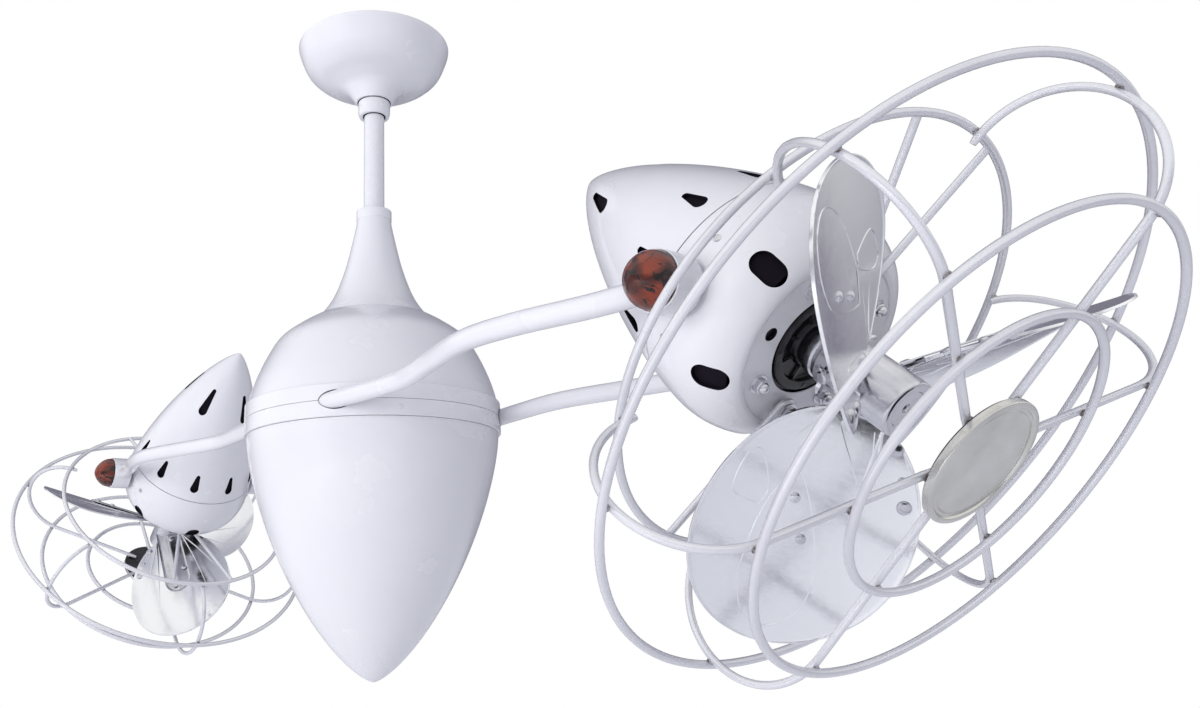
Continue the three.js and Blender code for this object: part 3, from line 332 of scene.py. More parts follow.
def effect(name, inputs, outputs):
    """A new shader group with (name, default) inputs and named value outputs."""
    group = bpy.data.node_groups.new(name, "ShaderNodeTree")
    for label, default in inputs:
        socket = group.interface.new_socket(label, in_out="INPUT", socket_type="NodeSocketFloat")
        socket.default_value = default
    for label in outputs:
        group.interface.new_socket(label, in_out="OUTPUT", socket_type="NodeSocketFloat")
    return group, group.nodes.new("NodeGroupInput"), group.nodes.new("NodeGroupOutput")


def node(tree, kind, links=(), **values):
    """A new node with its sockets set by name or linked from others."""
    made = tree.nodes.new(kind)
    for key, value in values.items():
        if hasattr(made, key):
            setattr(made, key, value)
        else:
            made.inputs[key.replace("_", " ").title()].default_value = value
    for socket, source in links:
        tree.links.new(source, made.inputs[socket])
    return made


def ranged(tree, source, low, high, to_low=0.0, to_high=1.0):
    """A value mapped from one range to another, and held at its ends."""
    made = node(tree, "ShaderNodeMapRange", [(0, source)])
    for socket, value in ((1, low), (2, high), (3, to_low), (4, to_high)):
        made.inputs[socket].default_value = value
    return made.outputs[0]


def feed(tree, socket, value):
    """Sets a socket to a number or a colour, or links it to another socket."""
    if isinstance(value, (int, float)):
        socket.default_value = value
    elif isinstance(value, tuple):
        socket.default_value = (*value, 1.0)
    else:
        tree.links.new(value, socket)


def maths(tree, operation, a, b):
    made = tree.nodes.new("ShaderNodeMath")
    made.operation = operation
    feed(tree, made.inputs[0], a)
    feed(tree, made.inputs[1], b)
    return made.outputs[0]


def own_space(tree):
    return tree.nodes.new("ShaderNodeTexCoord").outputs["Object"]


def cloudy(tree, where, scale, **values):
    """Noise whose scale is a number or a socket."""
    made = node(tree, "ShaderNodeTexNoise", [("Vector", where)], **values)
    feed(tree, made.inputs["Scale"], scale)
    return made.outputs[0]


def orange_peel():
    """Fine and broad unevenness of a painted or plated surface."""
    group, given, result = effect("orange_peel", [("Fine", 700.0), ("Broad", 18.0)], ["Height", "Patches"])
    where = own_space(group)
    fine = cloudy(group, where, given.outputs["Fine"], detail=2.0)
    broad = cloudy(group, where, given.outputs["Broad"], detail=4.0)
    feed(group, result.inputs[0], maths(group, "ADD", fine, maths(group, "MULTIPLY", broad, 3.0)))
    feed(group, result.inputs[1], ranged(group, broad, 0.3, 0.7))
    return group


def broken_mask(group, given, result, mask, detail, low, high):
    """Sends a mask out, broken up by noise and weighed by Amount."""
    patches = ranged(group, cloudy(group, own_space(group), given.outputs["Scale"], detail=detail), low, high)
    broken = maths(group, "MULTIPLY", mask, patches)
    feed(group, result.inputs[0], maths(group, "MULTIPLY", broken, given.outputs["Amount"]))
    return group


def settled_dust():
    """How much dust lies on a surface: on faces that look up, in soft patches."""
    group, given, result = effect("settled_dust", [("Amount", 0.2), ("Scale", 60.0)], ["Mask"])
    normal = group.nodes.new("ShaderNodeNewGeometry").outputs["Normal"]
    up = node(group, "ShaderNodeSeparateXYZ", [(0, normal)]).outputs[2]
    return broken_mask(group, given, result, ranged(group, up, 0.35, 1.0), 6.0, 0.35, 0.75)


def rubbed_edges():
    """Where edges are rubbed: on outward corners, broken up by grain."""
    group, given, result = effect("rubbed_edges", [("Amount", 0.5), ("Scale", 250.0)], ["Mask"])
    corners = group.nodes.new("ShaderNodeNewGeometry").outputs["Pointiness"]
    return broken_mask(group, given, result, ranged(group, corners, 0.53, 0.6), 5.0, 0.42, 0.62)


def polish_lines():
    """Fine lines left by polishing, drawn out along one way of the piece."""
    group, given, result = effect("polish_lines", [("Scale", 260.0), ("Stretch", 0.06)], ["Lines"])
    squeeze = node(group, "ShaderNodeCombineXYZ", [(1, given.outputs["Stretch"])])
    for socket in (0, 2):
        squeeze.inputs[socket].default_value = 1.0
    sockets = [(0, own_space(group)), (1, squeeze.outputs[0])]
    drawn = node(group, "ShaderNodeVectorMath", sockets, operation="MULTIPLY")
    lines = cloudy(group, drawn.outputs[0], given.outputs["Scale"], detail=3.0)
    feed(group, result.inputs[0], ranged(group, lines, 0.3, 0.7))
    return group


PEEL, DUST, RUBBED, LINES = orange_peel(), settled_dust(), rubbed_edges(), polish_lines()


# ---- Finishes ----

def placed(tree, group, **values):
    """A shared effect in a material, with that material's own values."""
    made = tree.nodes.new("ShaderNodeGroup")
    made.node_tree = group
    for key, value in values.items():
        made.inputs[key].default_value = value
    return made


def blended(tree, mask, under, over):
    """A colour that goes from one to another with a mask; each is a colour or a socket."""
    mix = tree.nodes.new("ShaderNodeMix")
    mix.data_type = "RGBA"
    for socket, value in ((0, mask), (6, under), (7, over)):
        feed(tree, mix.inputs[socket], value)
    return mix.outputs[2]


def peeled(tree, fine, broad=18.0):
    """The patches and the height of orange_peel, at one finish's own scales."""
    peel = placed(tree, PEEL, Fine=fine, Broad=broad)
    return peel.outputs["Patches"], peel.outputs["Height"]


def laid_over(tree, group, under, over, **values):
    """A colour laid over another where a shared effect says."""
    return blended(tree, placed(tree, group, **values).outputs["Mask"], under, over)


def new_finish(name, metallic, coat=0.0, coat_roughness=0.05, specular=0.5):
    """A material with its surface shader, whose even values are set on the shader itself."""
    made = bpy.data.materials.new(name)
    made.use_nodes = True
    tree = made.node_tree
    shader = tree.nodes["Principled BSDF"]
    shader.inputs["Metallic"].default_value = metallic
    shader.inputs["Coat Weight"].default_value = coat
    shader.inputs["Coat Roughness"].default_value = coat_roughness
    shader.inputs["Specular IOR Level"].default_value = specular
    return made, tree, shader


def surfaced(tree, shader, colour, roughness, height, distance):
    """Gives a finish its colour, its roughness, and bumps that are a distance in metres high."""
    feed(tree, shader.inputs["Base Color"], colour)
    feed(tree, shader.inputs["Roughness"], roughness)
    bump = node(tree, "ShaderNodeBump", [("Height", height)], distance=distance)
    feed(tree, shader.inputs["Normal"], bump.outputs[0])


def gloss_paint(name, colour, shade, bare, metallic=0.0, rough=(0.2, 0.3), coat=0.5, wear=0.35, dust=0.1):
    """Smooth paint on metal, with slight patches, rubbed edges and a little dust."""
    made, tree, shader = new_finish(name, metallic, coat)
    patches, height = peeled(tree, 620.0, 14.0)
    worn = laid_over(tree, RUBBED, blended(tree, patches, shade, colour), bare, Amount=wear)
    dusty = laid_over(tree, DUST, worn, (0.42, 0.4, 0.37), Amount=dust)
    surfaced(tree, shader, dusty, ranged(tree, patches, 0, 1, *rough), height, 0.00006)
    return made


def polished(name, colour, shade, rough, waves=0.00012, wave_scale=9.0, lines=0.00002):
    """Polished metal, with polishing lines, slow waves and a faint haze."""
    made, tree, shader = new_finish(name, 1.0)
    patches, height = peeled(tree, wave_scale * 6, wave_scale)
    drawn = placed(tree, LINES, Scale=330.0).outputs["Lines"]
    tone = blended(tree, patches, shade, colour)
    dusty = laid_over(tree, DUST, tone, (0.4, 0.38, 0.35), Amount=0.08, Scale=90.0)
    haze = maths(tree, "ADD", patches, drawn)
    height = maths(tree, "ADD", maths(tree, "MULTIPLY", height, waves / lines), drawn)
    surfaced(tree, shader, dusty, ranged(tree, haze, 0, 2, *rough), height, lines)
    return made


def zinc_finish():
    """Dull zinc plate with its spangle."""
    made, tree, shader = new_finish("zinc_plate", 1.0)
    spangle = node(tree, "ShaderNodeTexVoronoi", [("Vector", own_space(tree))], scale=140.0).outputs["Distance"]
    tone = blended(tree, spangle, (0.4, 0.41, 0.43), (0.62, 0.63, 0.65))
    dusty = laid_over(tree, DUST, tone, (0.35, 0.33, 0.3), Amount=0.3)
    height = peeled(tree, 500.0)[1]
    surfaced(tree, shader, dusty, ranged(tree, spangle, 0, 1, 0.35, 0.55), height, 0.00008)
    return made


def black_finish():
    """Semi-gloss black on cast cases, with fine grit."""
    made, tree, shader = new_finish("motor_black", 0.0, 0.2, 0.1, 0.3)
    patches, height = peeled(tree, 900.0, 40.0)
    tone = blended(tree, patches, (0.004, 0.003, 0.006), (0.009, 0.007, 0.012))
    worn = laid_over(tree, RUBBED, tone, (0.16, 0.15, 0.15), Amount=0.4)
    dusty = laid_over(tree, DUST, worn, (0.2, 0.19, 0.18), Amount=0.12)
    surfaced(tree, shader, dusty, ranged(tree, patches, 0, 1, 0.22, 0.38), height, 0.00012)
    return made


def dark_finish():
    """Near-black painted shade for the insides of the shells, the walls of holes cut in them, the lining behind
    the vents and the gap round the rod, which show only as dark holes.
    """
    made, tree, shader = new_finish("inside_painted_shade", 0.0, specular=0.1)
    patches, height = peeled(tree, 400.0)
    tone = blended(tree, patches, (0.006, 0.004, 0.008), (0.012, 0.009, 0.015))
    surfaced(tree, shader, tone, 0.9, height, 0.0001)
    return made


def stone_finish():
    """Polished red-brown stone with black streaks drawn out along the knob."""
    made, tree, shader = new_finish("knob_stone", 0.0, 0.35, 0.04, 0.35)
    drawn = node(tree, "ShaderNodeMapping", [("Vector", own_space(tree))])
    drawn.inputs["Scale"].default_value = (62.0, 30.0, 62.0)
    drawn.inputs["Rotation"].default_value = (0.5, 0.2, 0.4)
    flow = cloudy(tree, drawn.outputs[0], 1.0, detail=3.0, distortion=0.8)
    streak = cloudy(tree, drawn.outputs[0], 1.7, detail=4.0, distortion=1.6)
    red = blended(tree, ranged(tree, flow, 0.38, 0.6), (0.05, 0.009, 0.005), (0.21, 0.032, 0.013))
    tone = blended(tree, ranged(tree, streak, 0.54, 0.6), red, (0.012, 0.006, 0.006))
    surfaced(tree, shader, tone, ranged(tree, flow, 0.3, 0.7, 0.16, 0.28), flow, 0.00008)
    return made


def weld_finish():
    """Brown heat stain and scale where wires are brazed together."""
    made, tree, shader = new_finish("weld_stain", 0.7)
    stain = cloudy(tree, own_space(tree), 420.0, detail=6.0)
    tone = blended(tree, ranged(tree, stain, 0.4, 0.62), (0.14, 0.1, 0.085), (0.5, 0.49, 0.52))
    surfaced(tree, shader, tone, ranged(tree, stain, 0.3, 0.7, 0.35, 0.6), stain, 0.0003)
    return made


painted = gloss_paint("white_paint", (0.72, 0.72, 0.755), (0.7, 0.7, 0.745), (0.56, 0.56, 0.58))
cage_paint = gloss_paint("cage_wire", (0.76, 0.76, 0.8), (0.68, 0.68, 0.72), (0.4, 0.39, 0.4), metallic=0.5,
                         rough=(0.22, 0.3), coat=0.2, wear=0.0)
mirror_metal = polished("blade_polish", (0.93, 0.935, 0.955), (0.88, 0.885, 0.91), (0.12, 0.26))
bracket_metal = polished("bracket_polish", (0.74, 0.74, 0.77), (0.6, 0.6, 0.64), (0.12, 0.3), waves=0.0003,
                         wave_scale=16.0)
nickel = polished("badge_nickel", (0.78, 0.77, 0.74), (0.6, 0.59, 0.56), (0.12, 0.32), waves=0.0002,
                  wave_scale=30.0)
# Painted shade: a near-black colour for what lies in shade inside the shells and holes.
inside_painted_shade = dark_finish()
black_case = black_finish()
zinc = zinc_finish()
stone = stone_finish()
weld_stain = weld_finish()


# ---- Ceiling fitting and rod ----

def screw_head(into, place, radius=3.0, height=1.5, slot=True):
    """A small domed screw head, standing on a surface."""
    rim, root = 0.25, -0.6
    dome = [(radius * cos(a), rim + height * sin(a)) for a in (0.35, 0.7, 1.05, 1.35)]
    turned([(0, root), (radius, root), (radius, rim), *dome, (0, rim + height)], 22, into, place)
    if slot:
        x, y = radius * 0.62, 0.28
        prism([(-x, -y), (x, -y), (x, y), (-x, y)], place, rim + height * 0.9, 0.3 + height * 1.02, into)


def screws_round(into, degrees, radius, z, size, height):
    """Screw heads that stand out from a round wall, at angles round it."""
    for angle in degrees:
        out = heading(angle)
        screw_head(into, standing(out * radius + Vector((0, 0, z)), out), size, height)


def acorn_nut(into, place, radius=6.2, height=9.0):
    """A domed nut on its washer: a six-sided foot, a waist and a round cap."""
    turned(rounded([(0, 0), (radius + 1.6, 0), (radius + 1.6, 0.9, 0.4), (0, 0.9)], 3), 28, into, place)
    hexagon = rounded([(0, 0.9), (radius, 0.9), (radius, 4.0, 0.8), (radius - 0.9, 4.6), (0, 4.6)], 3)
    turned(hexagon, 6, into, place)
    cap = radius * 0.74
    dome = [(cap * cos(a), 4.9 + (height - 4.9) * sin(a)) for a in (0.2, 0.45, 0.7, 0.95, 1.2, 1.4)]
    turned([(0, 4.2), (cap, 4.2), (cap, 4.9), *dome, (0, height)], 24, into, place)


def canopy_and_rod():
    """The bell against the ceiling, its clamp ring with a near-black ring of painted shade in the gap round the
    rod, and the tube that hangs from it.
    """
    spread = CANOPY_RADIUS - CANOPY_NECK
    outer = flowing([(CANOPY_NECK + spread * s, -CANOPY_DEPTH * d) for s, d in CANOPY_FLARE], 64)
    shell = lined(outer, CANOPY_WALL)
    # The bell's inside takes the near-black painted shade.
    finished("canopy_bell", turned(shell, 128, dark=(len(outer), len(shell) - 1)), "mount",
             [painted, inside_painted_shade], stands_for=["canopy"])
    foot = COLLAR_TOP - COLLAR_HEIGHT
    ring = rounded([(COLLAR_BORE, COLLAR_TOP), (COLLAR_RADIUS, COLLAR_TOP, 0.8), (COLLAR_RADIUS, foot + 5, 1.5),
                    (COLLAR_RADIUS - 1.2, foot, 1.6), (COLLAR_BORE + 1, foot, 0.8), (COLLAR_BORE, foot + 1.2)])
    made = turned(ring, 64)
    screws_round(made, (-90, 0), COLLAR_RADIUS - 0.2, foot + 9, 2.2, 0.5)
    finished("canopy_clamp_ring", made, "mount", [painted], stands_for=["canopy_collar"])
    # A near-black ring of painted shade in the gap between the rod and the clamp ring.
    gap_shade_bore, gap_shade_top, gap_shade_foot = ROD_RADIUS + 0.1, foot + 2, foot - 0.1
    gap_shade = [(gap_shade_bore, gap_shade_top), (COLLAR_BORE, gap_shade_top), (COLLAR_BORE, gap_shade_foot), (gap_shade_bore, gap_shade_foot)]
    finished("canopy_clamp_gap_shade", turned(gap_shade, 48), "mount", [inside_painted_shade])
    bore, bottom = ROD_RADIUS - ROD_WALL, BODY_TOP + NECK_RISE - ROD_SOCKET
    tube = rounded([(bore, ROD_TOP), (ROD_RADIUS, ROD_TOP, 0.4), (ROD_RADIUS, bottom), (bore, bottom)])
    finished("hanging_rod", turned(tube, 64), "mount", [painted], stands_for=["downrod"])


def hanging_cone():
    """The flared cone over the body's top, with a screwed collar round the rod."""
    spread = CONE_RIM_RADIUS - CONE_COLLAR_RADIUS
    foot = CONE_TOP - CONE_COLLAR_HEIGHT
    curve = [(CONE_COLLAR_RADIUS + spread * s, CONE_RIM + CONE_HEIGHT * r) for s, r in CONE_FLARE]
    flare = flowing(curve, 60)[:-1]
    inner = lined(flare, CONE_WALL)[len(flare):]
    inner = [p for p in inner if p[1] < foot - CONE_WALL and p[0] > ROD_RADIUS + 1]
    bore, collar = ROD_RADIUS + SEAT_GAP, CONE_COLLAR_RADIUS + 1
    top = rounded([(flare[-1][0], foot), (collar, foot, 0.6), (collar, CONE_TOP, 1.0),
                   (bore + 0.6, CONE_TOP, 0.4), (bore, CONE_TOP - 1), (bore, foot - CONE_WALL)])
    outline = flare + top + inner
    # The cone's inside takes the near-black painted shade.
    made = turned(outline, 112, dark=(len(flare) + len(top), len(outline) - 1))
    screws_round(made, (degrees(0.3) + 120 * k for k in range(3)), collar - 0.2, foot + 5.5, 2.2, 0.4)
    finished("hanging_cone", made, "mount", [painted, inside_painted_shade], stands_for=["hanger_cone"])


# ---- Turning body ----

def body_shells():
    """The domed upper shell, with its lid, and the egg-shaped lower one."""
    curve = [*DOME_CURVE, (UPPER_TOP_RADIUS / BODY_RADIUS, 1)]
    outer = flowing([(BODY_RADIUS * s, UPPER_RIM + UPPER_HEIGHT * r) for s, r in curve], 72)
    inner = lined(outer, BODY_WALL)[len(outer) + 1:]
    under = BODY_TOP - BODY_WALL
    lid = rounded([(UPPER_TOP_RADIUS - 2, BODY_TOP), (UPPER_MOUTH, BODY_TOP, 0.8), (UPPER_MOUTH, under),
                   (UPPER_TOP_RADIUS - BODY_WALL, under)])
    finished("upper_body", turned(outer + lid + inner, 160), "turning_body", [painted],
             stands_for=["upper_shell"])
    outer = egg(BODY_RADIUS, LOWER_RIM, LOWER_HEIGHT, BODY_TAPER, 90)
    finished("lower_body", turned(lined(outer, BODY_WALL), 160), "turning_body", [painted],
             stands_for=["lower_shell"])


def arm_line(side, face):
    """The middle of an arm, evenly spaced, from inside the body to its boss."""
    boss_middle = HEAD_RADIUS + 2 * SEAT_GAP + BUSH_THICKNESS + BOSS_LENGTH / 2
    end_x = PIVOT_REACH - (BOSS_RADIUS + PIN_RADIUS) / 2
    given = []
    for share, bow in ARM_BOWS:
        x = ARM_ROOT_X + (end_x - ARM_ROOT_X) * share
        y = ARM_ROOT_Y + (boss_middle - ARM_ROOT_Y) * share - bow * (BOW_IN if bow > 0 else BOW_OUT)
        given.append((x, -y))
    across = -1 if face == "front" else 1
    return [Vector((side * x, -across * y, SEAM_Z)) for x, y in flowing(given, 90)]


def bands():
    """The two seam bands, with a port round each arm, and the screws in them."""
    ports = bmesh.new()
    for side in (1, -1):
        for face in ("front", "back"):
            wire(arm_line(side, face)[4:50], ARM_RADIUS + PORT_GAP, (0, 0, 1), 28, into=ports)
    bore = BODY_RADIUS - BODY_WALL
    for name, top, lip, cutters, screws in (
        ("upper", UPPER_BAND_TOP, 1.1, ports.copy(), (18, -94, 198, 86)),
        ("lower", LOWER_BAND_TOP, 0.5, ports, (-21.6, 158.4, -107, 73)),
    ):
        foot = top - BAND_HEIGHT
        outline = rounded([(bore, top), (BAND_RADIUS, top, lip), (BAND_RADIUS, foot, 1.6 - lip), (bore, foot)])
        # The walls of the ports take the near-black painted shade.
        made = carved(turned(outline, 200), cutters)
        screws_round(made, screws, BAND_RADIUS - 0.3, top - BAND_HEIGHT / 2, 2.7, 0.5)
        finished(f"{name}_seam_band", made, "turning_body", [painted, inside_painted_shade],
                 stands_for=[f"{name}_band"])


def arms():
    """Four bent arms, each with the turned boss at its end and a weld bead round its root."""
    inner = HEAD_RADIUS + 2 * SEAT_GAP + BUSH_THICKNESS
    outer = inner + BOSS_LENGTH
    bore, cup = PIN_RADIUS + SEAT_GAP, KNOB_RADIUS + SEAT_GAP
    boss = rounded([(bore, inner), (BOSS_RADIUS, inner, 1.2), (BOSS_RADIUS, outer, 0.5), (cup, outer, 0.3),
                    (cup, outer - BOSS_CUP), (bore, outer - BOSS_CUP)])
    bead = rounded([(0, -1.6), (ARM_RADIUS + 0.2, -1.6), (ARM_RADIUS + 1.2, 0.2, 1.0),
                    (ARM_RADIUS + 0.9, 2.2, 1.0), (0, 2.2)])
    for side, word in ((1, "right"), (-1, "left")):
        for face, across in (("front", -1), ("back", 1)):
            line = arm_line(side, face)
            made = wire(line, ARM_RADIUS, (0, 0, 1), 32)
            turned(boss, 64, made, standing((side * PIVOT_REACH, 0, SEAM_Z), (0, across, 0)))
            toe = (line[-1] - line[-4]).normalized()
            middle = Vector((side * PIVOT_REACH, across * (inner + outer) / 2, SEAM_Z))
            turned(bead, 40, made, standing(middle - toe * (BOSS_RADIUS + 1.2), toe))
            finished(f"{word}_{face}_arm", made, "turning_body", [painted],
                     stands_for=[f"{word}_arm_{face}"])


# ---- Fan heads, in a head's own frame ----

def head_place(side):
    """A head's place, with its own Z along its axis and its own X along its tilt axis."""
    tilt = radians(HEAD_TILT)
    axis, across = Vector((side * cos(tilt), 0, -sin(tilt))), Vector((0, 1, 0))
    turn = Matrix((across, axis.cross(across), axis)).transposed().to_4x4()
    return Matrix.Translation((side * PIVOT_REACH, 0, SEAM_Z)) @ turn


def head_piece(word, name, made, finishes, place, solid="", sharp=30):
    """A piece that rides on a head, and stands for one of its solids or for none."""
    stands_for = [f"{word}_{solid}"] if solid else ()
    finished(f"{word}_{name}", made, f"{word}_head", finishes, place, stands_for, sharp)


def outward(degrees):
    """Turns a shape's own Y to the head's axis and its own Z outwards at an angle round it."""
    out, axis = heading(degrees), Vector((0, 0, 1))
    return Matrix((axis.cross(out), axis, out)).transposed().to_4x4()


def teardrop(span, radii):
    """A teardrop along Y, small at its low end and large at its high end."""
    low, high = span[0] + radii[0], span[1] - radii[1]
    lean = asin((radii[1] - radii[0]) / (high - low))
    outline = []
    for centre, radius, start, end, steps in (
        (high, radii[1], -lean, pi + lean, 16), (low, radii[0], pi + lean, 2 * pi - lean, 10)
    ):
        for k in range(steps + 1):
            a = start + (end - start) * k / steps
            outline.append((radius * cos(a), centre + radius * sin(a)))
    return outline


def rear_shell(word, setting, place):
    """The pointed rear housing, with its two rows of vents."""
    first = asin((HEAD_WIDEST - HEAD_SEAM) / HEAD_REAR) / (pi / 2)
    outer = egg(HEAD_RADIUS, HEAD_WIDEST, HEAD_REAR, HEAD_TAPER, 84, first)
    shell = lined(outer, HEAD_WALL)
    # The housing's inside takes the near-black painted shade, and so do the vents' walls.
    made = turned(shell, 144, dark=(len(outer), len(shell) - 1))
    cutters = bmesh.new()
    for count, phase, span, radii, near, far in (
        (SIDE_VENTS, 0, SIDE_VENT_SPAN, SIDE_VENT_RADII, 40, 95),
        (TIP_VENTS, setting["tip_vents"], TIP_VENT_SPAN, TIP_VENT_RADII, 14, 70),
    ):
        for k in range(count):
            prism(teardrop(span, radii), outward(phase + 360 * k / count), near, far, cutters)
    head_piece(word, "rear_housing", carved(made, cutters), [painted, inside_painted_shade], place,
               "rear_shell")


def egg_radius(z):
    """The head's radius behind its widest section."""
    return HEAD_RADIUS * egg_share((HEAD_WIDEST - z) / HEAD_REAR)


def shoulder_radius(share):
    """The head's radius at a share of the way from its widest section to its face."""
    return FACE_RADIUS + (HEAD_RADIUS - FACE_RADIUS) * max(0.0, 1 - share * share) ** 0.6


def front_shell(word, place):
    """The front housing, with its slots, the holes in its face and the bores for its pivots."""
    outer = [(egg_radius(z), z) for z in (HEAD_SEAM + 1.1, -16, -10, -4, 1)]
    for i in range(41):
        share = sin(pi / 2 * i / 40)
        outer.append((shoulder_radius(share), HEAD_WIDEST + HEAD_SHOULDER * share))
    inner = lined(outer, HEAD_WALL)[len(outer) + 1:]
    behind = FACE_INNER_Z - HEAD_WALL
    face = rounded([
        (FACE_STEP + 0.6, FACE_Z + 0.01, 0.7), (FACE_STEP, FACE_INNER_Z, 0.8),
        (OPENING_RADIUS, FACE_INNER_Z, 0.8), (OPENING_RADIUS, behind), (FACE_RADIUS - HEAD_WALL, behind)])
    outline = outer + face + inner
    # The housing's inside behind its face takes the near-black painted shade, and so do the walls of its slots
    # and holes.
    made = turned(outline, 144, dark=(len(outer) + len(face) - 3, len(outline) - 1))
    cutters = bmesh.new()
    radius, straight = SLOT_WIDTH / 2, (SLOT_LENGTH - SLOT_WIDTH) / 2
    slot = []
    for end in (1, -1):
        for k in range(15):
            a = -pi / 2 + pi * k / 14
            slot.append((-end * radius * sin(a), end * (straight + radius * cos(a))))
    at = Matrix.Translation((0, HEAD_WIDEST + HEAD_SHOULDER * SLOT_SHARE, shoulder_radius(SLOT_SHARE)))
    lean = Matrix.Rotation(radians(-SLOT_LEAN), 4, "X")
    for k in range(SLOTS):
        prism(slot, outward(SLOT_PHASE + 360 * k / SLOTS) @ at @ lean, -9, 16, cutters)
    for side in (-1, 1):
        prism(circle(FACE_HOLE, 28), Matrix.Translation((side * FACE_BOLTS, 0, FACE_INNER_Z)), -8, 6, cutters)
        prism(circle(PIVOT_HOLE, 28), standing((side * 60, 0, 0), (side, 0, 0)), 0, 40, cutters)
    head_piece(word, "front_housing", carved(made, cutters), [painted, inside_painted_shade], place,
               "front_shell")


def housing_fixings(word, place):
    """The nuts on the face, the two bolts that hold the rear cage, and the screws in the sides."""
    made = bmesh.new()
    for k in range(4):
        at = heading(45 + 90 * k) * FACE_BOLTS + Vector((0, 0, FACE_INNER_Z))
        acorn_nut(made, standing(at, (0, 0, 1), 0.4 + k), 4.9, 8.6)
    low, high = FACE_INNER_Z - 1, FACE_Z + 5.4
    post = [(0, low), (STRUT_BOLT, low), (STRUT_BOLT, high), (0, high)]
    for side, screws in ((-1, (155, -155)), (1, (25, -25))):
        turned(post, 24, made, Matrix.Translation((0, side * FACE_BOLTS, 0)))
        acorn_nut(made, standing((0, side * FACE_BOLTS, FACE_Z + 5.2), (0, 0, 1), 0.3), 5.6, 8.4)
        screws_round(made, screws, egg_radius(-1) - 0.3, -1, 2.8, 1.2)
    head_piece(word, "housing_fixings", made, [bracket_metal], place, sharp=25)


def vent_shade_lining(word, place):
    """A near-black sheet of painted shade just inside the housings, which closes the vents to view."""
    back = [(egg_radius(z), z) for z in range(-190, -22, 8)]
    front = [(shoulder_radius(s), HEAD_WIDEST + HEAD_SHOULDER * s) for s in (0, 0.2, 0.4, 0.55, 0.7, 0.8, 0.86)]
    gap, sheet = 1.4, 0.8
    outer = [(x - HEAD_WALL - gap, z) for x, z in [*back, *front]]
    inner = [(x - sheet, z) for x, z in outer[::-1]]
    tip_x, tip_z = outer[0]
    outline = [(0, tip_z), *outer, *inner[:-1], (tip_x - sheet, tip_z + sheet), (0, tip_z + sheet)]
    head_piece(word, "vent_shade_lining", turned(outline, 72), [inside_painted_shade], place)


def fan_motor(word, place):
    """The black motor case, with a ribbed nose in the face's opening."""
    flange = FACE_INNER_Z - HEAD_WALL - SEAT_GAP
    nose, trough, cap, well = (FACE_INNER_Z - drop for drop in (0.2, 4, 0.6, 3))
    made = turned(rounded([
        (0, MOTOR_REAR), (MOTOR_RADIUS - 6, MOTOR_REAR, 4), (MOTOR_RADIUS, MOTOR_REAR + 6, 4),
        (MOTOR_RADIUS, flange - 3), (MOTOR_FLANGE, flange - 3), (MOTOR_FLANGE, flange, 0.6),
        (MOTOR_NOSE, flange), (MOTOR_NOSE, nose, 1.4), (27, nose, 0.6), (26, trough, 1.2), (17, trough, 0.8),
        (15.5, cap, 0.8), (10, cap, 0.6), (9, well, 0.4), (SHAFT_BORE, well), (SHAFT_BORE, SHAFT_END),
        (0, SHAFT_END)]), 88)
    for k in range(4):
        at = heading(20 + 90 * k) * 30 + Vector((0, 0, FACE_INNER_Z - 0.3))
        screw_head(made, standing(at, (0, 0, 1), k), 1.9, 0.3)
    for k in range(8):
        rib = [(17, -0.9), (26, -0.9), (26, 0.9), (17, 0.9)]
        prism(rib, turn_by(45 * k), FACE_INNER_Z - 5, FACE_INNER_Z - 2, made)
    head_piece(word, "motor_case", made, [black_case], place, "motor")


def tilt_pivots(word, place):
    """Pins with their polished bushes, and the stone knobs that tighten them."""
    bush = HEAD_RADIUS + SEAT_GAP
    collar = bush + BUSH_THICKNESS
    boss_outer = collar + SEAT_GAP + BOSS_LENGTH
    foot, rim = boss_outer - BOSS_CUP + SEAT_GAP, boss_outer + SEAT_GAP
    start, pin_end = rim + 1.6, foot + KNOB_BORE_DEPTH - SEAT_GAP
    nut = egg_radius(HEAD_SEAM) - HEAD_WALL - 0.6
    nut_foot = nut - PIN_NUT_LENGTH
    pin = rounded([
        (0, nut_foot), (PIN_NUT_RADIUS, nut_foot, 0.5), (PIN_NUT_RADIUS, nut, 0.5), (PIN_RADIUS, nut),
        (PIN_RADIUS, bush), (BUSH_RADIUS, bush, 0.7), (BUSH_RADIUS, collar, 0.7), (PIN_RADIUS, collar),
        (PIN_RADIUS, pin_end), (0, pin_end)])
    bullet = rounded([(KNOB_BORE, foot), (KNOB_SPIGOT, foot), (KNOB_SPIGOT, rim), (KNOB_RADIUS, rim, 0.5),
                      (KNOB_RADIUS, start)])
    for i in range(1, 29):
        share = sin(pi / 2 * i / 28)
        radius = KNOB_RADIUS * (1 - share ** 1.9) ** 0.66 if i < 28 else 0.0
        bullet.append((radius, start + (KNOB_LENGTH - (start - foot)) * share))
    bullet += [(0, foot + KNOB_BORE_DEPTH), (KNOB_BORE, foot + KNOB_BORE_DEPTH)]
    for face, way in (("front", -1), ("back", 1)):
        stand = place @ standing((0, 0, 0), (way, 0, 0))
        head_piece(word, f"{face}_pivot", turned(pin, 48), [bracket_metal], stand,
                   f"pivot_pin_{face}")
        head_piece(word, f"{face}_knob", turned(bullet, 56), [stone], stand, f"knob_{face}")


# ---- Rotor ----

def blade_lift(x, y):
    """The height of a blade's sheet, which leans forwards and rises to its long edges."""
    off = (y - BLADE_SWEEP) / (BLADE_WIDTH / 2)
    return x * tan(radians(BLADE_CONE)) + BLADE_CUP * off * off


def blade_place(degrees):
    """A blade's place in its head's frame, with its own X outwards from the hub."""
    pitch = Matrix.Rotation(radians(BLADE_PITCH), 4, "X")
    return turn_by(degrees) @ Matrix.Translation((0, 0, BLADE_AXIAL)) @ pitch


